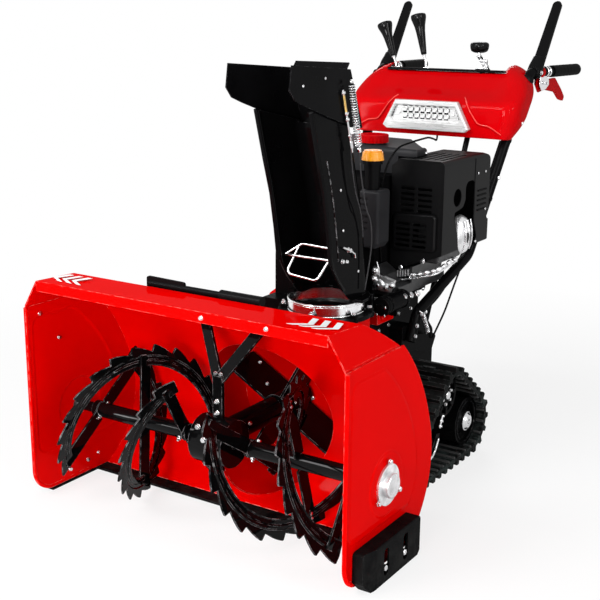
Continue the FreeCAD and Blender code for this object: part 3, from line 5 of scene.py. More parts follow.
import bmesh
import bpy
from mathutils import Matrix, Vector


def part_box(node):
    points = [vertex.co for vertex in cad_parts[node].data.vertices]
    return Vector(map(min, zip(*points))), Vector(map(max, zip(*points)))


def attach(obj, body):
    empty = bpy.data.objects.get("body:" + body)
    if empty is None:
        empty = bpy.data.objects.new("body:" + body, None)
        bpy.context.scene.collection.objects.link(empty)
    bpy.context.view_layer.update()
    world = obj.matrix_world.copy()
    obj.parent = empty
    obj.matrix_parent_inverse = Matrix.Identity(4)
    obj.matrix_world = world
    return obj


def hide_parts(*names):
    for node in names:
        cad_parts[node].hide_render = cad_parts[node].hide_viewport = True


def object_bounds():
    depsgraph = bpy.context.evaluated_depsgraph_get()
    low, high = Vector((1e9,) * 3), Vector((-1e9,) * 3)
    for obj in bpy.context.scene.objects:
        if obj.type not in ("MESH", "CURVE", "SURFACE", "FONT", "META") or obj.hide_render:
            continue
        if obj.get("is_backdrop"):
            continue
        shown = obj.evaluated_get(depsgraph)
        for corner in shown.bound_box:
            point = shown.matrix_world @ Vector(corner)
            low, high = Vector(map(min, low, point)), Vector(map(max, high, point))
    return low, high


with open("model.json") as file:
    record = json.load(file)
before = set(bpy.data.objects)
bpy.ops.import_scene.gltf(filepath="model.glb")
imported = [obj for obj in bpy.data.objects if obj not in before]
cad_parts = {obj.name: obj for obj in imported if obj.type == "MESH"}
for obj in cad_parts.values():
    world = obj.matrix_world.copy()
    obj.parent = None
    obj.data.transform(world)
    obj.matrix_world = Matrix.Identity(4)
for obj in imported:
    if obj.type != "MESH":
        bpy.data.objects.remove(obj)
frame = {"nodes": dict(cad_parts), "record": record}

# Looks of a walk-behind, two-stage snow blower on rubber tracks; metres, +Z up, and -Y is its front.
# Places and sizes of pieces are written in millimetres, and at() and mm() turn them to metres.
SIDES = (1, -1)
X, Y, Z = Vector((1, 0, 0)), Vector((0, 1, 0)), Vector((0, 0, 1))
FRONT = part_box("auger_housing")[0][1]
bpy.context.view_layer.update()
scene = bpy.context.scene


def mm(value):
    """Millimetres as metres."""
    return value / 1000


def at(across, back, up):
    """A place in millimetres: across, behind the housing's front edge and above the ground."""
    return Vector((mm(across), mm(back) + FRONT, mm(up)))


def turns(count, start=0.0):
    """Even angles round a full turn."""
    return [math.tau * k / count + start for k in range(count)]


def way_at(angle, first=Y, second=Z):
    """The unit direction at this angle, which goes from the first axis to the second."""
    return first * math.cos(angle) + second * math.sin(angle)


def square(axis):
    """Two unit directions across this axis."""
    axis = axis.normalized()
    side = axis.cross(Z if abs(axis.z) < 0.9 else X).normalized()
    return side, axis.cross(side)


def circle(centre, side, up, radius, count, start=0.0):
    """Even places on a circle in the plane of these two directions."""
    return [centre + way_at(angle, side, up) * mm(radius) for angle in turns(count, start)]


# ---------------------------------------------------------------- finishes
class Graph:
    """A new material and short ways to add nodes to it."""

    def __init__(self, name):
        self.material = bpy.data.materials.new(name)
        self.material.use_nodes = True
        self.tree = self.material.node_tree
        self.shader = self.tree.nodes["Principled BSDF"]
        self.place = self.add("ShaderNodeTexCoord").outputs["Object"]

    def connect(self, socket, value):
        if isinstance(value, bpy.types.NodeSocket):
            self.tree.links.new(value, socket)
        else:
            socket.default_value = value

    def shade(self, **values):
        """Sets or links sockets of the main shader, their spaces written as underscores."""
        for key, value in values.items():
            self.connect(self.shader.inputs[key.replace("_", " ")], value)

    def add(self, kind, settings=None, **inputs):
        """A node; an input is given by its name, or by its number after an underscore."""
        node = self.tree.nodes.new(kind)
        for key, value in (settings or {}).items():
            setattr(node, key, value)
        for key, value in inputs.items():
            self.connect(node.inputs[int(key[1:])] if key[1:].isdigit() else node.inputs[key], value)
        return node

    def noise(self, scale, detail=3.0, stretch=None, roughness=0.5):
        where = self.place
        if stretch:
            where = self.add("ShaderNodeMapping", Vector=where, Scale=stretch).outputs["Vector"]
        return self.add("ShaderNodeTexNoise", Vector=where, Scale=scale, Detail=detail,
                        Roughness=roughness).outputs["Fac"]

    def spread(self, value, low, high, to_low=0.0, to_high=1.0):
        return self.add("ShaderNodeMapRange", {"clamp": True}, _0=value, _1=low, _2=high, _3=to_low,
                        _4=to_high).outputs["Result"]

    def math(self, operation, first, second):
        return self.add("ShaderNodeMath", {"operation": operation, "use_clamp": True}, _0=first,
                        _1=second).outputs[0]

    def mix(self, share, first, second):
        return self.add("ShaderNodeMix", {"data_type": "RGBA"}, _0=share, _6=first, _7=second).outputs[2]

    def rounded(self, radius):
        """The normal as if edges were rounded off by this radius."""
        return self.add("ShaderNodeBevel", {"samples": 4}, Radius=radius).outputs["Normal"]

    def edges(self, radius):
        """Near 1 on sharp edges, 0 on open faces."""
        hard = self.add("ShaderNodeNewGeometry").outputs["Normal"]
        same = self.add("ShaderNodeVectorMath", {"operation": "DOT_PRODUCT"}, _0=self.rounded(radius),
                        _1=hard).outputs["Value"]
        return self.spread(same, 0.99, 0.86)


def opaque(colour, factor=1.0):
    """The colour times this factor, with full alpha."""
    return (*(min(1.0, part * factor) for part in colour), 1.0)


def surface(name, colour, roughness, metallic=0.0, coat=0.0, coat_roughness=0.05, specular=0.5,
            variation=0.12, variation_scale=9.0, grain=220.0, grain_strength=0.12, grain_distance=0.0004,
            stretch=None, roughness_spread=0.08, edge_wear_and_highlight=None, edge_wear_and_highlight_share=0.5, edge_wear_and_highlight_radius=0.0011,
            dust=None, dust_height=0.12, soft_edge=0.0008):
    """A finish with slow colour drift, fine grain, an edge colour and, near the ground, dust; the edge colour
    is worn paint on some finishes and a painted highlight on others.
    """
    g = Graph(name)
    drift = g.noise(variation_scale, 4.0)
    base = g.mix(g.spread(drift, 0.3, 0.7), opaque(colour, 1 - variation), opaque(colour, 1 + variation))
    fine = g.noise(grain, 3.0, stretch)
    rough = g.spread(g.noise(grain * 0.12, 5.0, stretch), 0.3, 0.7, max(0.02, roughness - roughness_spread),
                     roughness + roughness_spread)
    # Edge colour: worn edges on some finishes; on red_paint, gloss_black and track_rubber it is a painted
    # highlight along the edges.
    if edge_wear_and_highlight:
        patchy = g.spread(g.noise(60.0, 4.0), 0.44, 0.58)
        edge_wear_and_highlight_mask = g.math("MULTIPLY", g.math("MULTIPLY", g.edges(edge_wear_and_highlight_radius), patchy), edge_wear_and_highlight_share)
        base = g.mix(edge_wear_and_highlight_mask, base, opaque(edge_wear_and_highlight))
    if dust:
        height = g.add("ShaderNodeSeparateXYZ", Vector=g.place).outputs["Z"]
        low = g.spread(height, dust_height, 0.0)
        cloud = g.math("MULTIPLY", low, g.spread(g.noise(24.0, 6.0, None, 0.7), 0.42, 0.75))
        base = g.mix(cloud, base, opaque(dust))
    grained = g.add("ShaderNodeBump", Strength=grain_strength, Distance=grain_distance, Height=fine,
                    Normal=g.rounded(soft_edge)).outputs["Normal"]
    g.shade(Base_Color=base, Roughness=rough, Normal=grained, Metallic=metallic, Specular_IOR_Level=specular,
            Coat_Weight=coat, Coat_Roughness=coat_roughness)
    return g.material


FINISHES = {
    # red_paint's pale pink edge colour is a painted highlight along the sheet's edges.
    "red_paint": dict(
        colour=(0.70, 0.0005, 0.0003), roughness=0.20, coat=0.05, specular=0.0, variation=0.04,
        variation_scale=4.0, grain=420.0, grain_strength=0.025, roughness_spread=0.05,
        edge_wear_and_highlight=(0.95, 0.30, 0.26), edge_wear_and_highlight_share=0.75, edge_wear_and_highlight_radius=0.0022, soft_edge=0.0020),
    "red_plastic": dict(
        colour=(0.52, 0.0006, 0.0022), roughness=0.18, coat=0.07, specular=0.0, variation=0.05, grain=600.0,
        grain_strength=0.02, roughness_spread=0.05, soft_edge=0.0015),
    "black_paint": dict(
        colour=(0.003, 0.003, 0.0033), roughness=0.15, coat=0.1, specular=0.0, variation=0.3, grain=380.0,
        grain_strength=0.05, edge_wear_and_highlight=(0.20, 0.20, 0.21), soft_edge=0.0014),
    "satin_black": dict(
        colour=(0.003, 0.003, 0.0033), roughness=0.30, coat=0.08, coat_roughness=0.25, specular=0.0,
        variation=0.3, grain=500.0, grain_strength=0.10, edge_wear_and_highlight=(0.12, 0.12, 0.12), edge_wear_and_highlight_share=0.35,
        dust=(0.02, 0.02, 0.019), soft_edge=0.0012),
    "bare_steel": dict(
        colour=(0.66, 0.66, 0.67), roughness=0.22, metallic=1.0, variation=0.18, variation_scale=30.0,
        grain=90.0, grain_strength=0.06, stretch=(1.0, 1.0, 14.0)),
    "cast_alloy": dict(
        colour=(0.72, 0.72, 0.73), roughness=0.30, metallic=0.9, variation=0.25, variation_scale=40.0,
        grain=340.0, grain_strength=0.35, grain_distance=0.0006),
    # track_rubber's grey edge colour is a painted highlight along the track's edges.
    "track_rubber": dict(
        colour=(0.006, 0.006, 0.006), roughness=0.50, coat=0.1, coat_roughness=0.4, specular=0.0,
        variation=0.3, grain=260.0, grain_strength=0.25, edge_wear_and_highlight=(0.16, 0.16, 0.16), edge_wear_and_highlight_share=0.8,
        edge_wear_and_highlight_radius=0.0022, dust=(0.05, 0.068, 0.065), dust_height=0.3, soft_edge=0.0015),
    "grip_rubber": dict(
        colour=(0.003, 0.003, 0.003), roughness=0.5, coat=0.1, coat_roughness=0.4, specular=0.0, grain=700.0,
        grain_strength=0.3),
    "black_plastic": dict(
        colour=(0.004, 0.004, 0.0043), roughness=0.30, coat=0.1, coat_roughness=0.25, specular=0.0,
        variation=0.2, grain=900.0, grain_strength=0.22, grain_distance=0.0003, soft_edge=0.0014),
    "grey_plastic": dict(
        colour=(0.022, 0.022, 0.024), roughness=0.40, coat=0.15, coat_roughness=0.3, specular=0.0,
        grain=900.0, grain_strength=0.22, grain_distance=0.0003),
    "yellow_plastic": dict(
        colour=(0.95, 0.36, 0.006), roughness=0.30, coat=0.2, variation=0.06, grain=700.0,
        grain_strength=0.05),
    "knob_chrome": dict(
        colour=(0.68, 0.68, 0.69), roughness=0.12, metallic=1.0, variation=0.06, grain=300.0,
        grain_strength=0.03),
    "yellow_brass": dict(
        colour=(0.60, 0.42, 0.16), roughness=0.30, metallic=1.0, variation=0.15, grain=300.0,
        grain_strength=0.1),
    # gloss_black's pale grey edge colour is a painted highlight along the edges.
    "gloss_black": dict(
        colour=(0.0022, 0.0022, 0.0024), roughness=0.12, coat=0.25, coat_roughness=0.04, specular=0.0,
        variation=0.3, variation_scale=26.0, grain=70.0, grain_strength=0.07, grain_distance=0.0012,
        edge_wear_and_highlight=(0.50, 0.50, 0.52), edge_wear_and_highlight_share=0.75, edge_wear_and_highlight_radius=0.0018, soft_edge=0.0014),
    "cover_plastic": dict(
        colour=(0.0045, 0.0045, 0.0048), roughness=0.33, coat=0.22, coat_roughness=0.28, specular=0.0,
        variation=0.1, grain=900.0, grain_strength=0.06, grain_distance=0.0002, roughness_spread=0.02,
        soft_edge=0.011),
    "lamp_silver": dict(
        colour=(0.66, 0.66, 0.66), roughness=0.30, metallic=0.25, coat=0.15, variation=0.03, grain=240.0,
        grain_strength=0.03, stretch=(1.0, 1.0, 12.0), soft_edge=0.0016),
    "lamp_bright": dict(
        colour=(0.86, 0.86, 0.86), roughness=0.18, metallic=0.2, coat=0.3, variation=0.05, grain=300.0,
        grain_strength=0.05),
    # This lighter red is a painted highlight for the beads along the cowl's crease.
    "red_gloss_painted_highlight": dict(
        colour=(0.80, 0.05, 0.04), roughness=0.12, coat=1.0, coat_roughness=0.08, specular=0.2,
        variation=0.05, grain=500.0, grain_strength=0.02),
    "polished_ring": dict(
        colour=(0.86, 0.86, 0.87), roughness=0.18, metallic=1.0, variation=0.08, variation_scale=30.0,
        grain=120.0, grain_strength=0.04, stretch=(1.0, 1.0, 0.1)),
    "cleat_rubber": dict(
        colour=(0.045, 0.045, 0.045), roughness=0.42, specular=0.3, variation=0.3, grain=260.0,
        grain_strength=0.2),
    # This grey on black cables is a painted sheen along them.
    "cable_grey_painted_sheen": dict(
        colour=(0.035, 0.035, 0.037), roughness=0.25, specular=0.1, variation=0.2, grain=300.0,
        grain_strength=0.05),
    # The crankcase's dark casting; the same colour is also a block of painted shade under the muffler cover.
    "dark_cast_and_shade": dict(
        colour=(0.022, 0.022, 0.023), roughness=0.36, metallic=0.3, specular=0.3, variation=0.4,
        variation_scale=40.0, grain=340.0, grain_strength=0.4, grain_distance=0.0006),
    "white_film": dict(
        colour=(0.80, 0.80, 0.80), roughness=0.35, variation=0.04, variation_scale=30.0, grain=500.0,
        grain_strength=0.04),
}
MATERIALS = {name: surface(name, **look) for name, look in FINISHES.items()}

# CAD nodes whose finish here is finer than the slot in the record; the others take their slot's finish.
FINISH_OF = {"engine_block": "black_plastic", "crankcase": "dark_cast_and_shade", "gearbox_bracket": "gloss_black",
             "chute_ring": "polished_ring", "muffler_cover": "cover_plastic", "auger_shaft": "gloss_black",
             "impeller": "gloss_black", "gearbox": "gloss_black", "headlamp": "lamp_silver"}
slot_of = {part["node"]: part["material_slot"] for part in frame["record"]["subparts"]}
for name, node in frame["nodes"].items():
    node.data.materials.clear()
    node.data.materials.append(MATERIALS[FINISH_OF.get(name, slot_of[name])])


# ---------------------------------------------------------------- shape tools
def placed(name, data, finish, body):
    """An object of this data that rides on a body; it keeps the record's slot where its finish is one."""
    data.materials.append(MATERIALS[finish])
    piece = bpy.data.objects.new(name, data)
    scene.collection.objects.link(piece)
    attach(piece, body)
    return piece


class Shape:
    """Gathers the parts of one piece in a mesh that rides on a body; sizes are in millimetres."""

    def __init__(self, name, finish, body="chassis"):
        self.name, self.finish, self.body = name, finish, body
        self.mesh = bmesh.new()

    def skin(self, rings, caps=True):
        """Faces between closed rows of points, with the ends filled."""
        rows = [[self.mesh.verts.new(point) for point in ring] for ring in rings]
        count = len(rows[0])
        for low, high in zip(rows, rows[1:]):
            for k in range(count):
                after = (k + 1) % count
                self.mesh.faces.new((low[k], low[after], high[after], high[k]))
        if caps:
            self.mesh.faces.new(rows[0][::-1])
            self.mesh.faces.new(rows[-1])

    def turned(self, start, axis, profile, sides=20):
        """A turned form; the profile is (distance along, radius)."""
        across, up = square(axis)
        axis = axis.normalized()
        self.skin([circle(start + axis * mm(along), across, up, radius, sides) for along, radius in profile])

    def prism(self, outline, axis, depth, bevel=0.6):
        """Points on a flat outline pushed along an axis, with a fine chamfer at both ends."""
        axis = axis.normalized()
        centre = sum(outline, Vector()) / len(outline)
        size = max((point - centre).length for point in outline) * 1000
        share = max(0.0, 1 - bevel / size)
        steps = ((0.0, share), (bevel, 1.0), (depth - bevel, 1.0), (depth, share))
        self.skin([[centre + (point - centre) * grow + axis * mm(along) for point in outline]
                   for along, grow in steps])

    def block(self, low, high, bevel=0.8):
        """An upright block between two corners, all its edges chamfered."""
        edge, rings = mm(bevel), []
        for z, cut in ((low.z, edge), (low.z + edge, 0), (high.z - edge, 0), (high.z, edge)):
            x0, x1, y0, y1 = low.x + cut, high.x - cut, low.y + cut, high.y - cut
            rings.append([Vector((x, y, z)) for x, y in (
                (x0 + edge, y0), (x1 - edge, y0), (x1, y0 + edge), (x1, y1 - edge),
                (x1 - edge, y1), (x0 + edge, y1), (x0, y1 - edge), (x0, y0 + edge))])
        self.skin(rings)

    def wire(self, points, radius, sides=8, rounds=0):
        """A round rod through these points; each round of smoothing softens its corners."""
        for _ in range(rounds):
            softer = [points[0]]
            for start, end in zip(points, points[1:]):
                softer += [start.lerp(end, 0.25), start.lerp(end, 0.75)]
            points = softer + [points[-1]]
        side, _ = square(points[1] - points[0])
        rings = []
        for k, point in enumerate(points):
            ahead = (points[min(k + 1, len(points) - 1)] - points[max(k - 1, 0)]).normalized()
            side = (side - ahead * side.dot(ahead)).normalized()
            rings.append(circle(point, side, ahead.cross(side), radius, sides))
        self.skin(rings)

    def strip(self, path, across, width, thickness, chamfer=1.2):
        """A flat bar along a path, its broad side lying along the given direction."""
        rings = []
        for k, point in enumerate(path):
            ahead = (path[min(k + 1, len(path) - 1)] - path[max(k - 1, 0)]).normalized()
            wide = (across - ahead * across.dot(ahead)).normalized() * mm(width / 2)
            thick = ahead.cross(wide).normalized() * mm(thickness / 2)
            lean, thin = wide * (1 - chamfer / width), thick * 0.4
            rings.append([point + shift for shift in (
                -wide - thin, -lean - thick, lean - thick, wide - thin,
                wide + thin, lean + thick, -lean + thick, -wide + thin)])
        self.skin(rings)

    def bolt(self, place, axis, size, washer=True, stud=False):
        """A flanged hexagon head that stands on a face, turned at will; its size is the thread."""
        across, up = square(axis)
        axis = axis.normalized()
        if washer:
            self.turned(place - axis * 0.0003, axis, ((0, size * 0.98), (1.0, size), (1.4, size * 0.9)))
        lift = 1.2 if washer else 0.0
        start = (place.x * 7919 + place.y * 104729 + place.z * 1299709) % 1.0 * math.tau / 6
        self.skin([circle(place + axis * mm(lift + along), across, up, radius * size, 6, start)
                   for along, radius in ((0, 0.90), (0.6, 0.92), (size * 0.52, 0.92), (size * 0.64, 0.80))])
        if stud:
            self.turned(place + axis * mm(lift + size * 0.6), axis,
                        ((0, size * 0.5), (size * 0.7, size * 0.5), (size * 0.8, size * 0.4)), 12)

    def side_bolts(self, side, face, places, size, washer=True):
        """Bolts at these places (back, up) on a face that looks out to this side."""
        for back, up in places:
            self.bolt(at(side * face, back, up), X * side, size, washer)

    def screw(self, place, axis, size):
        """A domed cross-head screw."""
        self.turned(place - axis * 0.0003, axis, ((0, size), (size * 0.25, size * 0.97),
                                                  (size * 0.5, size * 0.72), (size * 0.58, size * 0.3)), 16)

    def made(self, angle=32.0, replaces=None):
        """Turns what was gathered into an object; edges sharper than the angle stay sharp."""
        bmesh.ops.recalc_face_normals(self.mesh, faces=self.mesh.faces)
        data = bpy.data.meshes.new(self.name)
        self.mesh.to_mesh(data)
        self.mesh.free()
        data.shade_smooth()
        data.set_sharp_from_angle(angle=math.radians(angle))
        piece = placed(self.name, data, self.finish, self.body)
        if replaces:
            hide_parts(replaces)
        return piece


def cable(name, places, radius, finish, body):
    """A held cable: a smooth curve near its control points."""
    data = bpy.data.curves.new(name, "CURVE")
    data.dimensions = "3D"
    data.bevel_depth = mm(radius)
    data.bevel_resolution = 2
    data.use_fill_caps = True
    data.resolution_u = 10
    spline = data.splines.new("NURBS")
    spline.points.add(len(places) - 1)
    for point, place in zip(spline.points, places):
        point.co = (*at(*place), 1.0)
    spline.order_u = 3
    spline.use_endpoint_u = True
    placed(name, data, finish, body)


# ---------------------------------------------------------------- augers and housing
low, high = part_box("auger_shaft")
AXIS = (Vector(low) + Vector(high)) / 2
RIBBON_OUTER, RIBBON_INNER, RIBBON_THICK = 188.0, 136.0, 4.4
RIBBON_START, RIBBON_PITCH, RIBBON_SWEEP, RIBBON_ANGLE = 368.0, 378.0, 288.0, 225.0
TEETH, TOOTH_DEPTH, END_ARMS = 16, 17.0, (0.03, 0.97)
BEAD = ((0.0, 2.2), (3.0, 0.0), (12.0, 0.0), (15.5, 3.2), (22.5, 3.2), (26.0, 0.0))
TOOTH = ((0.0, 1.0), (0.07, 0.05), (0.12, 0.0), (0.35, 0.22), (0.6, 0.52), (0.85, 0.84))


def round_axis(across, radius, angle):
    """A place by its radius and its angle in degrees about the auger's shaft."""
    turn = math.radians(angle)
    return Vector((mm(across), AXIS.y + mm(radius) * math.cos(turn), AXIS.z + mm(radius) * math.sin(turn)))


def along_ribbon(first, share):
    """How far across the ribbon has got, and its angle there."""
    swept = RIBBON_SWEEP * share
    return RIBBON_START - RIBBON_PITCH * swept / 360, first - swept


def auger_ribbon(shape, side, first):
    """A saw-toothed spiral with a rolled inner edge and a pressed bead that fades out at its ends."""
    half, rings = RIBBON_THICK / 2, []
    for step, drop in [(k + share, drop) for k in range(TEETH) for share, drop in TOOTH] + [(TEETH, 1.0)]:
        share = step / TEETH
        across, angle = along_ribbon(first, share)
        fade = min(1.0, max(0.0, (share - 0.03) * 25), max(0.0, (0.97 - share) * 25))
        rim = RIBBON_OUTER - TOOTH_DEPTH * drop
        line = [(RIBBON_INNER + depth, lift * (fade if depth > 5 else 1.0)) for depth, lift in BEAD]
        line += [(RIBBON_OUTER - TOOTH_DEPTH - 4, 0.0), (rim - 0.8, 0.0)]
        section = [(across + lift + half, radius) for radius, lift in line]
        section += [(across + half - 1, rim), (across - half + 1, rim)]
        section += [(across + lift - half, radius) for radius, lift in reversed(line)]
        rings.append([round_axis(side * place, radius, angle) for place, radius in section])
    shape.skin(rings)


def auger_arm(shape, bolts, side, first, share):
    """A flat arm from the sleeve to the ribbon; one between the ribbon's ends is bolted."""
    head, angle = along_ribbon(first, share)
    foot = min(max(head, 92.0), 370.0)
    path = [round_axis(side * (foot + (head - foot) * k), radius, angle)
            for k, radius in ((0.0, 17.0), (0.04, 34.0), (0.5, 90.0), (0.96, 136.0), (1.0, 164.0))]
    shape.strip(path, way_at(math.radians(angle), Z, -Y), 34, 5)
    if share not in END_ARMS:
        for radius in (146, 158):
            bolts.bolt(round_axis(side * (head + 2.6), radius, angle), X * side, 5.0, washer=False)


def auger_side(side, phase, node):
    """One side's sleeve with two ribbons, their arms and the shear bolts through the sleeve."""
    paint = Shape(f"{node}_spiral", "gloss_black", "auger")
    bolts = Shape(f"{node}_bolts", "bare_steel", "auger")
    for first in (RIBBON_ANGLE + phase, RIBBON_ANGLE + phase - 180):
        auger_ribbon(paint, side, first)
        for share in (END_ARMS[0], 0.48, END_ARMS[1]):
            auger_arm(paint, bolts, side, first, share)
    paint.turned(Vector((side * 0.084, AXIS.y, AXIS.z)), X * side, (
        (0, 20.5), (1, 21.5), (9, 21.5), (10, 18.5), (276, 18.5), (277, 21), (293, 21), (294, 20)), 32)
    for across in (104, 356):
        for tip in SIDES:
            way = way_at(math.radians(38 + phase)) * tip
            bolts.bolt(Vector((side * mm(across), AXIS.y, AXIS.z)) + way * 0.0185, way, 6.5, stud=tip < 0)
    paint.made(28.0, node)
    bolts.made()


def make_housing_bolts():
    """Bolts of the housing's lip and side plates, the bearing flanges and the skid shoes."""
    bolts = Shape("housing_bolts", "bare_steel")
    for across, up in ((86, 537), (249, 540)):
        bolts.bolt(at(across, 0, up), -Y, 5.2)
    for side in SIDES:
        for back, up in ((103, 385), (46, 457), (157, 83), (183, 41), (119, 37), (222, 48)):
            bolts.bolt(at(side * 432, back, up), X * -side, 5.5)
        for turn in (90, 210, 330):
            bolts.bolt(round_axis(side * 444.3, 51, turn), X * side, 6.5)
        bolts.side_bolts(side, 464.2, ((161.8 - 42, 32), (161.8 + 42, 32)), 7.5, False)
    bolts.made()


def make_chevrons():
    """Three plain arrowheads at each end of the top plate."""
    film = Shape("top_chevrons", "white_film")
    for side in SIDES:
        for tip in (386, 357, 328):
            low = [at(side * (tip - inward), back, 549.9) for inward, back in (
                (0, 50), (13, 90), (27, 90), (14, 50), (50, 28), (36, 28))]
            film.skin([low, [point + Z * 0.0005 for point in low]])
    film.made()


# ---------------------------------------------------------------- chute, ring and spring
CHUTE_X, CHUTE_BACK, CHEEK, HINGE_FACE = 110.0, 450.0, 73.3, 81.6


def about_chute(radius, angle, up):
    """A place by its radius and its angle in degrees about the chute's axis."""
    turn = math.radians(angle)
    return at(CHUTE_X + radius * math.cos(turn), CHUTE_BACK + radius * math.sin(turn), up)


def make_ring_parts():
    """Clamp lugs with bolts round the flange, the dark seam under it and beads on the ring."""
    lugs = Shape("ring_lugs", "black_paint")
    bolts = Shape("ring_bolts", "bare_steel")
    for angle in (-158, -78, -20, 25, 100, 165):
        spot = about_chute(104, angle, 462)
        lugs.turned(spot - Z * 0.002, Z, ((0, 9.5), (9, 9.5), (10, 8.5)))
        bolts.bolt(spot + Z * 0.008, Z, 6.0, stud=angle in (-158, -78))
        lugs.turned(about_chute(111.5, angle, 456), way_at(math.radians(angle), X, Y),
                    ((0, 5), (4, 5), (5, 4)), 12)
    lugs.skin([[about_chute(radius, 360 * k / 72, up) for k in range(72)] for radius, up in (
        (111.9, 452.5), (112.6, 454), (112.6, 460), (111.9, 461.5))], caps=False)
    lugs.made()
    bolts.made()
    beads = Shape("ring_beads", "polished_ring", "chute")
    for up, swell in ((464.5, 1.3), (490.0, 1.3), (486.0, 0.6)):
        arc = [math.pi * (turn / 8 - 0.5) for turn in range(9)]
        beads.skin([[about_chute(91.8 + swell * math.cos(a), 360 * k / 96, up + swell * math.sin(a))
                     for k in range(96)] for a in arc], caps=False)
    beads.made()


def make_chute_hem():
    """Rolled front edges of the chute's cheeks and the seams of its back."""
    hem = Shape("chute_hems", "gloss_black", "chute")
    front = ((-186, 941), (-154, 833), (-127, 751), (-110, 670), (-98, 600), (-74, 560), (-40, 525))
    for reach, shift, rows, radius, sides in ((69.5, 2.5, front, 4.6, 12), (73.2, 30, front[1:5], 1.6, 6)):
        for side in SIDES:
            hem.wire([at(CHUTE_X + side * reach, CHUTE_BACK + back + shift, up) for back, up in rows],
                     radius, sides, 2)
    hem.made()


def coil(low, high, radius, rounds, facets, inset=0.0):
    """Points of a coil between two places, which starts and ends this many metres inside them."""
    axis = (high - low).normalized()
    across, up = square(axis)
    length, count = (high - low).length - 2 * inset, rounds * facets
    return [low + axis * (inset + length * k / count) + way_at(math.tau * k / facets, across, up) * mm(radius)
            for k in range(count + 1)]


def make_spring_parts():
    """Deflector spring, its guide rod with nuts and thread, and the cables that work it."""
    low, high = at(CHUTE_X + 95.5, 426, 852), at(CHUTE_X + 95.5, 386, 1001)
    axis = (high - low).normalized()
    spring = Shape("spring_coil", "bare_steel", "chute")
    spring.wire([low, *coil(low, high, 7.4, 25, 14, 0.006), high], 0.95, 6)
    spring.turned(low - axis * 0.008, axis, ((0, 4.2), (1, 5), (8, 5), (9, 4)), 14)
    spring.turned(high - axis * 0.001, axis, ((-1, 4), (0, 5), (4, 5), (5, 3.4)), 14)
    spring.made(40.0, "deflector_spring")
    rods = Shape("deflector_rods", "knob_chrome", "chute")
    top, foot = at(CHUTE_X + 86.5, 366, 985), at(CHUTE_X + 86.5, 404, 868)
    way = (foot - top).normalized()
    rods.wire([top, foot], 2.6, 10)
    for along in (0.004, 0.052, 0.066, 0.104):
        rods.turned(top + way * along, way, ((0, 4.6), (1, 5.2), (5, 5.2), (6, 4.6)), 6)
    rods.turned(foot - way * 0.002, way, ((0, 4.2), (1, 4.6), (16, 4.6), (17, 3.2), (26, 2.6)), 12)
    rods.made()
    thread = Shape("deflector_rod_thread", "yellow_brass", "chute")
    thread.turned(top + way * 0.012, way, [(k * 1.8 + along, radius) for k in range(22)
                                           for along, radius in ((0.0, 2.7), (0.9, 3.5))], 12)
    thread.made(20.0)
    # The cables are drawn grey: a painted sheen on black cables.
    for name, radius, places in (
            ("deflector_cable", 1.7, (
                (95.5, 427, 846), (95.5, 432, 812), (95.5, 452, 742), (95.5, 470, 700), (94, 486, 688),
                (92, 500, 650), (90, 503, 610), (86, 498, 560), (82, 490, 512))),
            ("deflector_cable_return", 1.5, (
                (86.5, 405, 852), (86.5, 414, 800), (85, 436, 742), (83, 462, 706), (80, 478, 660),
                (78.5, 482, 640)))):
        cable(name, [(CHUTE_X + across, back, up) for across, back, up in places], radius,
              "cable_grey_painted_sheen", "chute")


def make_chute_hardware():
    """Toggle and bolts on the chute's cheeks, and the deflector's hinge nuts."""
    steel = Shape("chute_fittings", "bare_steel", "chute")
    face = CHUTE_X + CHEEK
    steel.wire([at(face + 5, 392, 630), at(face + 6, 424, 618), at(face + 5, 446, 606)], 2.8, 8, 1)
    steel.turned(at(face, 424, 618), X, ((0, 7), (1.5, 7.4), (3, 6), (8, 5)), 16)
    steel.wire([at(face + 5, 446, 606), at(face + 4, 450, 596)], 2.4)
    steel.side_bolts(1, face, ((398, 596),), 5.5)
    steel.side_bolts(1, face, ((418, 592),), 4.5)
    steel.side_bolts(1, face, ((398, 668), (470, 560), (384, 762)), 4.0, False)
    for back, up in ((428, 700), (436, 612), (470, 560)):
        steel.bolt(at(CHUTE_X - CHEEK, back, up), -X, 4.0, washer=False)
    steel.made()
    pins = Shape("hinge_nuts", "bare_steel", "deflector")
    for size, places in ((5.4, ((430, 905),)), (3.6, ((214, 1000), (300, 1012)))):
        for side in SIDES:
            for back, up in places:
                pins.bolt(at(CHUTE_X + side * HINGE_FACE, back, up), X * side, size, washer=False)
    pins.made()


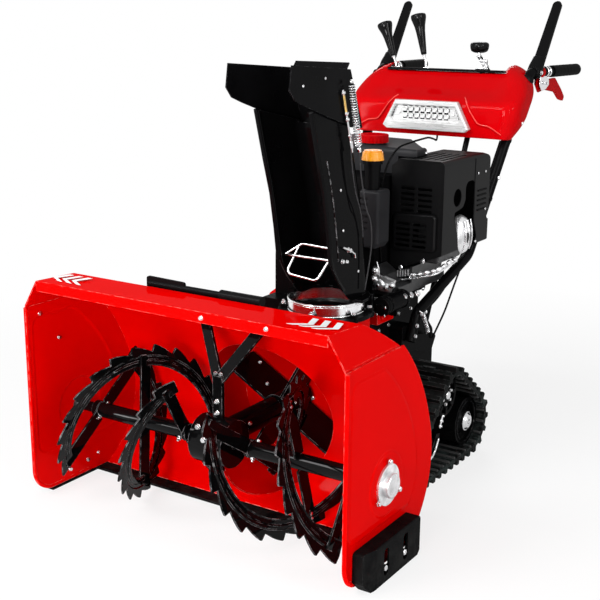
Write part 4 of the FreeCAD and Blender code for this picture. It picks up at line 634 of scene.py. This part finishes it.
# ---------------------------------------------------------------- engine
def make_engine_castings():
    """Fins, lumps and a bright lip along the engine's foot, below the muffler cover's lower edge, and a dark
    block under the cover that is painted shade.
    """
    cast = Shape("engine_castings", "cast_alloy")
    # A dark block below the muffler cover: painted shade under the cover.
    foot = Shape("engine_shade_block", "dark_cast_and_shade")
    foot.block(at(196, 764, 530), at(248, 896, 562), 3)
    foot.made(40.0)
    bolts = Shape("engine_bolts", "bare_steel")
    spread = random.Random(11)
    for step in range(8):
        across, low = 121 + 7.4 * step, 482 + 1.8 * step
        cast.block(at(across, 742, low), at(across + 2.4, 756, low + 17), 0.5)
    edge = ((176, 752, 494), (212, 752, 504), (250, 754, 516), (254, 800, 524), (254, 866, 532))
    for start, end in zip(edge, edge[1:]):
        way = (at(*end) - at(*start)).normalized()
        flat = X if abs(way.x) < 0.5 else Y
        for share in (0.25, 0.75):
            spot = at(*start).lerp(at(*end), share)
            wide, tall = spread.uniform(6, 10), spread.uniform(5, 8)
            cast.skin([circle(spot + way * mm(along), flat * wide, Z * tall, grow, 12) for along, grow in (
                (-9, 0.3), (-6, 0.8), (0, 1.0), (5, 0.85), (9, 0.4))])
    cast.wire([at(across, back - 3, up - 9) for across, back, up in edge], 2.4, 8, 2)
    cast.wire([at(128, 748, 478), at(176, 749, 484), at(176, 752, 494)], 2.2, 8, 1)
    cast.skin([[at(across, back, up) for across, up in ring] for back, ring in (
        (677, ((108, 462), (160, 462), (170, 492), (112, 506))),
        (683, ((106, 460), (163, 460), (173, 494), (110, 509))))])
    for across, up, size in ((116, 512, 9), (128, 478, 13), (150, 474, 9), (164, 480, 7), (112, 492, 8)):
        cast.turned(at(across, 679, up), -Y, (
            (0, size + 2), (4, size + 1), (8, size - 1), (10, size * 0.5)), 16)
        bolts.bolt(at(across, 669.5, up), -Y, 4.6)
    cast.wire([at(118, 679, 536), at(126, 676, 520), at(128, 676, 500)], 1.6, 8, 1)
    cast.made(40.0)
    for across, up in ((150, 513), (212, 536)):
        bolts.bolt(at(across, 748.6, up), -Y, 6.4)
    bolts.side_bolts(1, 160.6, ((849, 797),), 5.0)
    bolts.side_bolts(1, 260.2, ((958, 742), (1004, 742), (958, 560), (1012, 640)), 4.0, False)
    bolts.made()
    ribs = Shape("cover_ribs", "black_plastic")
    for up in (640, 653, 666, 679, 692):
        ribs.block(at(259.5, 962, up), at(262.4, 1016, up + 4.5))
    ribs.wire([at(260.2, 941, 782), at(260.2, 941, 600)], 1.2)
    ribs.made()


def make_elbow():
    """Bulged exhaust elbow seen in the cover's window, with three ribs down its face."""
    cast = Shape("exhaust_elbow", "cast_alloy")
    centre = at(236, 912, 584)
    rings = []
    for along, wide, tall, drop in ((-26, 20, 24, 6), (-14, 34, 42, 4), (0, 41, 52, 0), (10, 40, 50, -2),
                                    (18, 34, 44, -3), (24, 22, 30, -3), (26.5, 8, 12, -3)):
        middle = centre + X * mm(along) + Z * mm(drop)
        rings.append([middle + way_at(a, Y * mm(wide), Z * mm(tall)) * (1 + 0.035 * math.cos(3 * a + 0.6))
                      for a in turns(36)])
    cast.skin(rings)
    for shift in (-18, 0, 18):
        cast.wire([centre + Vector((out, mm(shift), up)) for out, up in (
            (0.021, 0.040), (0.0275, 0.012), (0.0275, -0.020), (0.020, -0.040))], 2.0, 8, 2)
    cast.made(50.0)


# ---------------------------------------------------------------- dash
DASH_FRONT = ((808, 1168), (882, 1168), (892, 1169), (900, 1173), (908, 1179.5), (940, 1218), (975, 1256.5),
              (990, 1273), (998, 1283), (1002, 1291))
DASH_REAR = ((808, 1200), (934, 1300), (990, 1335), (1004, 1335))
CREASE = ((0, 921), (97, 920), (116, 910), (157, 852), (194, 844), (232, 821), (260, 800))
OPENING_HALF, OPENING_LOW = 189.0, 985
LOW_EDGE, SHOULDER = 808, 908


def between(value, table):
    """Straight-line reading of a table of (input, output) rows, which goes up."""
    for (x0, y0), (x1, y1) in zip(table, table[1:]):
        if value <= x1:
            return y0 + (y1 - y0) * max(0.0, (value - x0) / (x1 - x0))
    return table[-1][1]


def ease(value, low, high):
    """0 at the low value, 1 at the high one and a smooth step between them."""
    share = min(1.0, max(0.0, (value - low) / (high - low)))
    return share * share * (3 - 2 * share)


def dash_half(up):
    """Half the cowl's breadth at this height: drawn in below, round-shouldered above."""
    if up < SHOULDER:
        return 244 + 23.6 * math.sin(min(1.0, (up - LOW_EDGE) / 66) * math.pi / 2)
    return 171.6 + math.sqrt(max(0.0, 96 ** 2 - (up - SHOULDER) ** 2))


def dash_row(up):
    """One level of the cowl, from one rear edge round the front to the other."""
    half, front, rear = dash_half(up), between(up, DASH_FRONT), between(up, DASH_REAR)
    corner = min(44.0, (rear - front) * 0.8)
    flat = half - corner
    points = [(half, rear + (front + corner - rear) * k / 7) for k in range(7)]
    for k in range(12):
        a = math.pi / 2 * k / 12
        points.append((flat + corner * math.cos(a), front + corner - corner * math.sin(a)))
    points += [(flat * (1 - k / 60), front) for k in range(60)]
    points += [(0.0, front)] + [(-across, back) for across, back in reversed(points)]
    row = []
    for across, back in points:
        away = abs(across)
        panel = 5.0 * ease(between(away, CREASE) - up, 0.0, 7.0) * ease(flat + 20 - away, 0.0, 20.0)
        bay = 15.0 * ease(up, 900, 940) * ease(228 - away, 0.0, 62.0)
        row.append((across, back + max(panel, bay), up))
    return row


def handle_ends(side):
    """The foot and the top of the handle's sloping part."""
    return at(side * 200, 1052, 498), at(side * 240, 1320, 985)


def make_dash():
    """Moulded cowl: round shoulders, a hollow bay above the lamp and a creased panel round it."""
    cowl = Shape("dash_cowl", "red_plastic")
    levels = [LOW_EDGE + 4.05 * k for k in range(44)] + [988, 991, 994, 996.5, 999, 1001, 1002.4]
    rows = [dash_row(up) for up in levels]
    grid = [[cowl.mesh.verts.new(at(*point)) for point in row] for row in rows]
    for low, high, row in zip(grid, grid[1:], rows[1:]):
        for k in range(len(low) - 1):
            if row[k][2] > OPENING_LOW and max(abs(row[k][0]), abs(row[k + 1][0])) < OPENING_HALF:
                continue
            cowl.mesh.faces.new((low[k], low[k + 1], high[k + 1], high[k]))
    piece = cowl.made(60.0)
    wall = piece.modifiers.new("wall", "SOLIDIFY")
    wall.thickness = 0.003
    wall.offset = -1.0 if piece.data.polygons[3000].normal.y < 0 else 1.0
    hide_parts("dash_panel")
    trim = Shape("dash_trim", "black_plastic")
    for side in SIDES:
        foot, top = handle_ends(side)
        way = (foot - top).normalized()
        trim.turned(top + way * 0.012, way, ((0, 17), (2, 20), (10, 22), (18, 20), (20, 17)), 28)
    trim.wire([at(across, 1266.5, 990.5) for across in (-186, -120, 0, 120, 186)], 1.6)
    trim.made()
    bolts = Shape("dash_bolts", "bare_steel")
    for side in SIDES:
        for back, up in ((1252, 900), (1226, 852)):
            bolts.screw(at(side * 267.5, back, up), X * side, 5.0)
    bolts.made()


# ---------------------------------------------------------------- lamp
LAMP_UP, LENS_FACE = 866, 1158.8


def lamp_ring(outline, inset, back):
    """The outline at this depth, each corner drawn this many millimetres to the lamp's middle."""
    centre, points = Vector((0, LAMP_UP)), []
    for corner in outline:
        spot = Vector(corner)
        spot = spot + (centre - spot).normalized() * inset
        points.append(at(spot.x, back, spot.y))
    return points


def make_lamp():
    """Pale bevelled frame with a sunk lens, two rows of lights and dark dashes between them."""
    outer = ((-124, 822.5), (124, 822.5), (137.5, 832), (98, 906.5), (-98, 906.5), (-137.5, 832))
    inner = ((-108, 849), (108, 849), (112, 855), (94, 893), (-94, 893), (-112, 855))
    lamp = Shape("lamp_frame", "lamp_silver")
    lamp.skin([lamp_ring(*ring) for ring in (
        (outer, 0, 1167.8), (outer, 0, 1155), (outer, 2, 1151.5), (outer, 6, 1150.2),
        (inner, -3, 1150.2), (inner, 1, 1152), (inner, 2.5, 1158), (inner, 4, 1159))])
    lamp.skin([[at(-100, 1151.6, 846), at(100, 1151.6, 846), at(106, 1156, 825), at(-106, 1156, 825)],
               [at(-97, 1150.2, 843), at(97, 1150.2, 843), at(103, 1153, 827), at(-103, 1153, 827)]])
    lamp.made(24.0, "headlamp")
    lens = Shape("lamp_reflector", "lamp_bright")
    dark = Shape("lamp_slots", "black_plastic")

    def dash(x0, x1, back0, back1, up, half):
        dark.block(at(x0, back0, up - half), at(x1, back1, up + half), 0.3)

    step = 132 / 7
    for column in range(8):
        x = -66 + step * column
        for up in (863, 881):
            lens.turned(at(x, LENS_FACE, up), -Y,
                        ((0, 7.4), (2, 7.2), (3.4, 6.0), (2.4, 4.2), (1.2, 2.2), (2.6, 1.0)), 8)
        for up, half in ((889.5, 1.0), (872, 2.2), (855, 1.4)):
            dash(x - 6.6, x + 5.2, 1157.2, 1159, up, half)
        for up in (863, 881):
            dash(x + 7.9, x + 9.3, 1157.2, 1159, up, 5)
    for x in (-86, 86):
        lens.turned(at(x, LENS_FACE, 872), -Y, ((0, 6), (3, 6), (3.6, 5), (3.2, 3)))
    for side in SIDES:
        for share in (0.2, 0.42, 0.64, 0.86):
            x = side * (110 - 15 * share)
            dash(x - 1.4, x + 1.0, 1153, 1156, 853 + 38 * share, 3.4)
    lens.made()
    dark.made()


# ---------------------------------------------------------------- controls
PLATE_TOP = 989


def make_levers():
    """Flared hand grips with a dished head on plain stems."""
    grips = Shape("lever_grips", "gloss_black")
    stems = Shape("lever_stems", "knob_chrome")
    for across, length, lean in ((-178, 142, (-58, 14)), (-78, 162, (-40, 12))):
        low = at(across, 1305, PLATE_TOP + 0.6)
        way = Vector((*lean, length)).normalized()
        grips.turned(low, way, [(share * length, radius) for share, radius in (
            (0.25, 6.5), (0.26, 8.0), (0.30, 8.8), (0.42, 10.4), (0.55, 12.0), (0.68, 13.8), (0.78, 16.4),
            (0.86, 20.0), (0.91, 22.2), (0.945, 22.9), (0.972, 22.4), (0.988, 20.4), (0.994, 17.6),
            (0.982, 14.5), (0.972, 9.0), (0.97, 3.0))], 32)
        bend = low + way * mm(0.12 * length) + X * 0.003
        stems.wire([low, low + way * 0.008, bend, low + way * mm(0.27 * length)], 3.6, 12, 2)
        stems.turned(low - way * 0.0002, Z, ((0, 9), (1.5, 9), (2.5, 7)), 16)
        stems.turned(low + way * mm(0.22 * length), way, ((0, 4.6), (0.6, 5.4), (7, 5.4), (7.6, 4.6)), 6)
    grips.made(50.0, "shift_levers")
    stems.made()


def make_joystick():
    """Flat oval knob on a folded metal bracket."""
    knob = Shape("joystick_knob", "gloss_black")
    knob.turned(at(87, 1317, 1038), Z, ((0, 12), (2.5, 20), (6, 24.2), (12, 26.4), (20, 27.4), (25, 26.8),
                                        (28.5, 24), (30.4, 18), (30.8, 8)), 40)
    knob.block(at(83, 1301, PLATE_TOP + 0.6), at(120, 1326, 993))
    knob.skin([[at(across, back, up) for across, up in ((82, 1029), (94, 1029), (106, 1017), (92, 1015))]
               for back in (1310, 1318)])
    knob.made(40.0, "joystick")
    metal = Shape("joystick_bracket", "knob_chrome")
    metal.turned(at(87, 1317, 1026), Z, ((0, 6), (1, 8), (5, 8.2), (6, 5), (12.5, 5)), 16)
    for foot, head, low_thick in ((1306, 1309, 2.5), (1320, 1317, 2)):
        metal.skin([[at(86, foot + low, 993), at(119, foot + low, 993), at(112, head + top, 1018),
                     at(94, head + top, 1018)] for low, top in ((0, 0), (low_thick, 2))])
    metal.turned(at(92, 1314, 1015), X, ((0, 6), (1, 7), (20, 7), (22, 5)), 18)
    metal.turned(at(84, 1314, 1000), X, ((0, 3.6), (34, 3.6), (35, 2.6)), 14)
    metal.wire([at(87, 1314, 1031), at(92, 1314, 1024), at(103, 1314, 1014)], 4.4, 10, 1)
    metal.bolt(at(104, 1306, 1005), -Y, 4.4)
    metal.made()


def along_grip(side, back):
    """The middle of the handle's level end at this place behind the front edge."""
    return at(side * (240 + 22 * ((back - 1320) / 326)), back, 985)


def rounded_power(value):
    """Flattens a circle's sides towards those of a rounded rectangle."""
    return math.copysign(abs(value) ** 0.6, value)


def make_grip_hardware():
    """Boots at the foot of the clutch paddles, folded trigger brackets, pivots and cable ends."""
    rubber = Shape("paddle_boots", "black_plastic")
    metal = Shape("trigger_brackets", "knob_chrome")
    for side in SIDES:
        centre = at(side * 242.6, 1358, 985)
        way = Vector((side * 0.004, 0.148, 0.198)).normalized()
        across, thin = X * side, X.cross(way).normalized()
        rubber.skin([[centre + way * mm(along) + across * (mm(wide) * rounded_power(math.cos(a)))
                      + thin * (mm(thick) * rounded_power(math.sin(a))) for a in turns(28)]
                     for along, wide, thick in ((-13, 17, 9), (-10, 19.5, 12), (4, 20.5, 17), (20, 20.5, 15),
                                                (40, 19, 9), (52, 18, 7.4), (54, 16.5, 6))])
        metal.bolt(centre + X * side * 0.0196, X * side, 6.0)
        metal.bolt(centre - X * side * 0.0196, -X * side, 5.0)
        for reach in (-8.5, 7.5):
            metal.prism([at(side * (244.9 + reach), back, up) for back, up in (
                (1378, 999), (1402, 1000), (1410, 978), (1446, 962), (1448, 948), (1426, 936), (1396, 931),
                (1375, 950))], X * side, 2.2, 0.4)
        metal.side_bolts(side, 255, ((1404, 955),), 5.5)
        metal.side_bolts(side, 255, ((1430, 952),), 4.4, False)
        for back in (1420, 1436):
            metal.turned(along_grip(side, back), Y, ((0, 15.2), (1, 16.2), (7, 16.2), (8, 15.2)), 28)
        metal.wire([at(side * 247, 1404, 955), at(side * 249, 1420, 952), at(side * 249, 1452, 950)], 2.6)
    rubber.made(50.0)
    metal.made()
    rings = Shape("grip_rings", "grip_rubber")
    for side in SIDES:
        for step in range(6):
            rings.turned(along_grip(side, 1486 + 24 * step), Y, (
                (-3, 16.8), (-2, 17.3), (2, 17.3), (3, 16.8)), 28)
    rings.made(50.0)


def make_plate_marks():
    """Lever slots, as thin black sheets that are painted shade in the openings, and plain scale dashes on the
    control plate.
    """
    film = Shape("plate_marks", "white_film")
    low = PLATE_TOP + 0.05
    for row, back, length, width in (((-150, -133, -60, -43, -26, 20, 37, 70, 87), 1277, 10, 4),
                                     ((-130, -30, 60, 140), 1287, 22, 2)):
        for across in row:
            film.block(at(across, back, low), at(across + length, back + width, low + 0.25), 0.1)
    film.made()
    # Thin black sheets over the lever slots: painted shade of the openings.
    slot_shade_sheets = Shape("plate_slot_shade", "gloss_black")
    for across in (-178, -78, 104):
        slot_shade_sheets.block(at(across - 26, 1296, PLATE_TOP + 0.02), at(across + 26, 1316, PLATE_TOP + 0.5), 0.2)
    slot_shade_sheets.made()


# ---------------------------------------------------------------- tracks
FRONT_IDLER, REAR_IDLER, SPROCKET = WHEELS = ((596, 72, 50), (864, 88, 66), (737, 198, 57))
WHEEL_FACE = 300.2


def track_loop(count):
    """Even places along the track's inner face with the way out from it; millimetres."""
    path = []
    for step in range(720):
        a = math.pi * step / 360
        back, up, radius = max(WHEELS, key=lambda w: w[0] * math.cos(a) + w[1] * math.sin(a) + w[2])
        path.append(((back + radius * math.cos(a), up + radius * math.sin(a)), a))
    path.append((path[0][0], math.tau))
    lengths = [math.dist(one[0], two[0]) for one, two in zip(path, path[1:])]
    total, places, passed, k = sum(lengths), [], 0.0, 0
    for step in range(count):
        goal = total * (step + 0.5) / count
        while passed + lengths[k] < goal:
            passed += lengths[k]
            k += 1
        share = (goal - passed) / lengths[k]
        (b0, u0), a0 = path[k]
        b1, u1 = path[k + 1][0]
        places.append((b0 + (b1 - b0) * share, u0 + (u1 - u0) * share, a0))
    return places


def make_track_ribs():
    """Ribs across the inner face of the tracks, in two short pieces where they pass a wheel."""
    ribs = Shape("track_ribs", "cleat_rubber")
    for back, up, a in track_loop(30):
        out, along = way_at(a), way_at(a, Z, -Y)
        near = min(abs(math.dist((back, up), wheel[:2]) - wheel[2]) for wheel in WHEELS)
        spans = ((302, 324), (186, 208)) if near < 6 else ((186, 324),)
        for side in SIDES:
            for start, end in spans:
                rings = []
                for x, lean in ((start, 0.6), (start + 1.5, 1.0), (end - 1.5, 1.0), (end, 0.6)):
                    spot, crest = at(side * x, back, up), along * 0.0022 * lean
                    top = spot - out * 0.004 * lean
                    rings.append([spot - along * 0.004 + out * 0.0005, top - crest, top + crest,
                                  spot + along * 0.004 + out * 0.0005])
                ribs.skin(rings)
    ribs.made()


def about_wheel(wheel, across, radius, angle):
    """A place by its radius and its angle about a wheel's axle."""
    return at(across, wheel[0] + radius * math.cos(angle), wheel[1] + radius * math.sin(angle))


def make_wheel_details():
    """Ribs, bolts and plates on the outer faces of the sprockets and idlers."""
    steel = Shape("wheel_fittings", "bare_steel")
    paint = Shape("wheel_ribs", "black_paint")
    for side in SIDES:
        for a in turns(6, 0.3):
            steel.bolt(about_wheel(SPROCKET, side * WHEEL_FACE, 24, a), X * side, 4.5)
        steel.turned(at(side * (WHEEL_FACE - 1), *SPROCKET[:2]), X * side, (
            (0, 11), (6, 11), (8, 9), (8.5, 5)), 24)
        for a in turns(8):
            spot, radial = about_wheel(SPROCKET, side * (WHEEL_FACE - 0.5), 43, a), way_at(a)
            paint.strip([spot - radial * 0.009, spot + radial * 0.009], radial.cross(X), 9, 5)
        for wheel in (FRONT_IDLER, REAR_IDLER):
            paint.skin([[about_wheel(wheel, side * (WHEEL_FACE + lift - 0.4), wheel[2] - inset, a)
                         for a in turns(48)] for inset, lift in ((8, 0.0), (9, 2.4), (12, 3.0), (14, 0.0))],
                       caps=False)
        for a in turns(5, 0.5):
            steel.bolt(about_wheel(FRONT_IDLER, side * WHEEL_FACE, 22, a), X * side, 4.0)
        steel.wire([at(side * 304, 640, 48), at(side * 304, 672, 62), at(side * 304, 690, 92)], 3.0, 8, 1)
        steel.side_bolts(side, 303, ((640, 48), (660, 56), (676, 70), (690, 92)), 4.4, False)
        paint.prism([at(side * 296, back, up) for back, up in (
            (636, 40), (660, 44), (700, 86), (704, 104), (686, 108), (668, 82), (636, 60))], X * side, 5)
        low, high = at(side * 298, 708, 116), at(side * 298, 722, 146)
        steel.wire([low, high], 3.0)
        for share in (0.1, 0.5, 0.9):
            steel.turned(low.lerp(high, share), high - low, ((0, 5.4), (0.6, 5.8), (4.4, 5.8), (5, 5.4)), 6)
    for side in SIDES:
        for a in turns(3, 0.8):
            paint.turned(about_wheel(REAR_IDLER, side * 308.6, 11, a), X * side, ((0, 2.6), (0.3, 2.2)), 12)
    steel.made()
    paint.made()


# ---------------------------------------------------------------- handle feet, chute motor and gearbox
MOTOR_X, MOTOR_UP = 196, 444


def make_foot_hardware():
    """Bolts of the handle feet, the return spring beside the right one and the chute motor's screws."""
    steel = Shape("foot_fittings", "bare_steel")
    for side in SIDES:
        steel.side_bolts(side, 213.9, ((716, 346), (724, 372), (747, 398)), 5.5)
        steel.side_bolts(side, 150.2, (
            (640, 368), (690, 372), (700, 150), (900, 150), (900, 360), (630, 210)), 5.0)
        steel.side_bolts(side, 170.2, [(back, up) for back in (706, 770, 838) for up in (440, 402)], 4.6)
    low, high = at(221, 776, 345), at(221, 742, 402)
    steel.wire([at(214, 780, 338), low, *coil(low, high, 4.8, 12, 10), high, at(214, 738, 408)], 1.3, 6)
    for back, angle in ((655, 52), (684, 44), (716, 36)):
        out = way_at(math.radians(angle), X, Z)
        steel.turned(at(MOTOR_X, back, MOTOR_UP) + out * 0.0228, out, (
            (0, 8.4), (4, 8.6), (5, 7.4), (8, 6.8)), 18)
    for angle in (40, 130, 220, 310):
        a = math.radians(angle)
        steel.screw(at(MOTOR_X + 15 * math.cos(a), 563.8, MOTOR_UP + 15 * math.sin(a)), -Y, 3.4)
    steel.made()
    bracket = Shape("motor_clamp", "black_paint")
    bracket.block(at(150, 560, 424), at(174, 572, 484), 1.2)
    bracket.block(at(150, 572, 424), at(156, 640, 440), 1.2)
    bracket.made()
    bolts = Shape("motor_clamp_bolts", "bare_steel")
    for across, up in ((163, 438), (160, 476)):
        bolts.bolt(at(across, 559.9, up), -Y, 5.6)
    bolts.made()


def make_gearbox_hardware():
    """Bolts of the gearbox and its stays, and of the impeller's blades."""
    steel = Shape("gearbox_bolts", "bare_steel")
    for across, back, up in ((0, 110.8, 214), (26, 124, 236), (-26, 124, 236)):
        steel.bolt(at(across, back, up), -Y, 7.0)
    for up in (262, 290):
        steel.bolt(at(0, 162.6, up), -Y, 6.0, stud=True)
    for side in SIDES:
        for share in (0.08, 0.9):
            steel.bolt(at(0, 164, 344).lerp(at(side * 93, 229, 478), share) - Y * 0.001, -Y, 5.0)
    for back in (196, 236):
        for side in SIDES:
            steel.bolt(at(side * 38, back, 222), Vector((side * 0.7, 0, 0.7)), 5.0)
    steel.made()
    hub = Shape("impeller_bolts", "bare_steel", "impeller")
    for a in turns(4, 0.4):
        for radius in (62, 118):
            hub.bolt(at(radius * math.cos(a), 398, 205 + radius * math.sin(a)), -Y, 4.6)
    hub.made()


# ---------------------------------------------------------------- back of the machine, beads and strip
def make_rear_details():
    """Starter grip and screws, bolts of the case, handle clamps and the cables' fittings."""
    steel = Shape("rear_bolts", "bare_steel")
    for across in (-132, -60, 60, 132):
        for up in (136, 372):
            steel.bolt(at(across, 950.3, up), Y, 5.0)
    for a in turns(6, 0.35):
        steel.screw(at(-20 + 100 * math.cos(a), 1005, 617 + 106 * math.sin(a)), Y, 5.0)
    for side in SIDES:
        foot, top = handle_ends(side)
        for share in (0.18, 0.42, 0.83):
            steel.bolt(foot.lerp(top, share) + X * side * 0.0138, X * side, 5.4)
    steel.made()
    grip = Shape("starter_grip", "grip_rubber")
    grip.turned(at(-104, 1022, 716), X, ((0, 5), (3, 8), (14, 7), (28, 6.4), (42, 7), (53, 8), (56, 5)))
    grip.turned(at(-76, 1008, 716), Y, ((0, 9), (4, 9), (6, 6), (14, 4)))
    grip.made()
    case = Shape("rear_case_parts", "black_plastic")
    case.block(at(-70, 949.5, 214), at(70, 955, 300), 2.0)
    for up in (232, 248, 264, 280):
        case.block(at(-56, 954.5, up), at(56, 957.5, up + 6), 1.0)
    for side in SIDES:
        foot, top = handle_ends(side)
        for share in (0.3, 0.62):
            case.turned(foot.lerp(top, share), top - foot, (
                (0, 14.4), (0.6, 15.4), (8.4, 15.4), (9, 14.4)), 28)
    case.made()


def make_dash_beads():
    """Rolled glossy beads on the shoulders beside the cowl's lamp bay, in a lighter red that is a painted
    highlight along the crease.
    """
    bead = Shape("dash_bead", "red_gloss_painted_highlight")
    crease = ((107, 1189.8, 917), (114, 1180.2, 911), (120, 1172.6, 903), (126, 1167.4, 895),
              (136, 1165.3, 880), (146, 1164.8, 866), (157, 1165.0, 851), (166, 1166.2, 846),
              (178, 1165.7, 845), (192, 1164.6, 843.5), (203, 1164.8, 838), (214, 1164.6, 832),
              (230, 1167.4, 821.5))
    for side in SIDES:
        bead.wire([at(side * across, back, up) for across, back, up in crease], 1.7, 8, 1)
    bead.made()


def make_slit_shade_strip():
    """The dark strip that closes the slit between the clean-out tool's bar and the drum, as painted shade in
    that slit.
    """
    # A black block that is painted shade where the slit would show the background.
    painted_slit_shade = Shape("slit_shade_strip", "black_plastic")
    painted_slit_shade.block(at(-72, 140, 534.8), at(32, 144, 544), 0.5)
    painted_slit_shade.made()


# ---------------------------------------------------------------- camera, light and floor
def make_camera():
    """Stands to the front left of the machine, a little below handle height, and looks slightly down."""
    yaw, pitch, roll = (math.radians(angle) for angle in (33.06, 14.51, 0.43))
    forward = Vector((-math.sin(yaw) * math.cos(pitch), math.cos(yaw) * math.cos(pitch), -math.sin(pitch)))
    level = Vector((math.cos(yaw), math.sin(yaw), 0))
    up = level.cross(forward)
    right = level * math.cos(roll) + up * math.sin(roll)
    top = up * math.cos(roll) - level * math.sin(roll)
    data = bpy.data.cameras.new("camera")
    data.lens = 66.25
    data.sensor_width = 36.0
    camera = bpy.data.objects.new("camera", data)
    scene.collection.objects.link(camera)
    turn = Matrix((right, top, -forward)).transposed()
    camera.matrix_world = Matrix.Translation((1.449, -2.5365, 1.1429)) @ turn.to_4x4()
    scene.camera = camera


def area_light(name, place, target, size, power):
    """A rectangular light at a place, turned to its target; metres and watts."""
    data = bpy.data.lights.new(name, "AREA")
    data.shape = "RECTANGLE"
    data.size, data.size_y = size
    data.energy = power
    light = bpy.data.objects.new(name, data)
    scene.collection.objects.link(light)
    light.location = place
    light.rotation_mode = "QUATERNION"
    light.rotation_quaternion = (Vector(target) - Vector(place)).to_track_quat("-Z", "Y")


def open_rays(tree):
    """1 for the rays that see the white studio: camera, glossy and transmission rays."""
    path = tree.nodes.new("ShaderNodeLightPath")
    total = path.outputs["Is Camera Ray"]
    for kind in ("Is Glossy Ray", "Is Transmission Ray"):
        larger = tree.nodes.new("ShaderNodeMath")
        larger.operation = "MAXIMUM"
        tree.links.new(total, larger.inputs[0])
        tree.links.new(path.outputs[kind], larger.inputs[1])
        total = larger.outputs[0]
    return total


def make_world():
    """A soft grey surround that the camera, metal and glass see as plain white."""
    world = bpy.data.worlds.new("studio")
    scene.world = world
    world.use_nodes = True
    tree = world.node_tree
    spread = tree.nodes.new("ShaderNodeMapRange")
    spread.inputs[3].default_value = 0.13
    spread.inputs[4].default_value = 1.0
    tree.links.new(open_rays(tree), spread.inputs[0])
    background = tree.nodes["Background"].inputs
    tree.links.new(spread.outputs[0], background["Strength"])
    background["Color"].default_value = (1, 1, 1, 1)


def make_floor():
    """A pale floor that keeps the machine's soft shadow and turns to plain white away from it."""
    mesh = bpy.data.meshes.new("floor")
    reach = 30.0
    mesh.from_pydata([(-reach, -reach, 0), (reach, -reach, 0), (reach, reach, 0), (-reach, reach, 0)], [],
                     [(0, 1, 2, 3)])
    floor = bpy.data.objects.new("floor", mesh)
    scene.collection.objects.link(floor)
    graph = Graph("floor")
    pale = graph.mix(graph.noise(3.0, 4.0), (0.78, 0.78, 0.78, 1), (0.82, 0.82, 0.82, 1))
    graph.shade(Base_Color=pale, Roughness=0.9, Specular_IOR_Level=0.1)
    away = graph.add("ShaderNodeVectorMath", {"operation": "LENGTH"}, _0=graph.place).outputs["Value"]
    plain = graph.spread(away, 0.8, 2.0, 0.78, 1.0)
    white = graph.add("ShaderNodeEmission", Color=(1, 1, 1, 1), Strength=1.0).outputs[0]
    mixed = graph.add("ShaderNodeMixShader", _0=graph.math("MULTIPLY", plain, open_rays(graph.tree)),
                      _1=graph.shader.outputs[0], _2=white).outputs[0]
    graph.connect(graph.tree.nodes["Material Output"].inputs["Surface"], mixed)
    mesh.materials.append(graph.material)
    floor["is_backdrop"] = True


auger_side(1, 20.0, "auger_right")
auger_side(-1, 0.0, "auger_left")
for make in (make_housing_bolts, make_chevrons, make_ring_parts, make_chute_hem, make_spring_parts,
             make_chute_hardware, make_engine_castings, make_elbow, make_dash, make_lamp, make_levers,
             make_joystick, make_grip_hardware, make_plate_marks, make_track_ribs, make_wheel_details,
             make_foot_hardware, make_gearbox_hardware, make_slit_shade_strip, make_rear_details, make_dash_beads,
             make_camera, make_world, make_floor):
    make()
area_light("key", (-1.4, -3.3, 3.2), (0.1, -0.3, 0.4), (1.6, 1.6), 112.0)
area_light("front", (0.7, -3.8, 0.9), (0.0, -0.7, 0.3), (1.4, 0.9), 85.0)
area_light("side", (3.6, -1.0, 2.2), (0.1, 0.0, 0.5), (0.9, 1.8), 52.0)
area_light("strip_left", (-1.9, -2.6, 1.3), (0.0, -0.3, 0.5), (0.10, 2.2), 14.0)
area_light("strip_right", (2.6, -2.2, 1.5), (0.1, -0.2, 0.5), (0.10, 2.4), 14.0)
area_light("strip_top", (0.3, -1.6, 3.2), (0.1, -0.3, 0.5), (2.6, 0.12), 18.0)
area_light("strip_front", (-0.2, -3.4, 1.9), (0.0, -0.6, 0.3), (2.4, 0.12), 24.0)
area_light("rim", (-1.7, 3.0, 2.4), (0.0, 0.3, 0.6), (1.8, 0.9), 62.0)
scene.view_settings.view_transform = "Standard"

low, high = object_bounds()
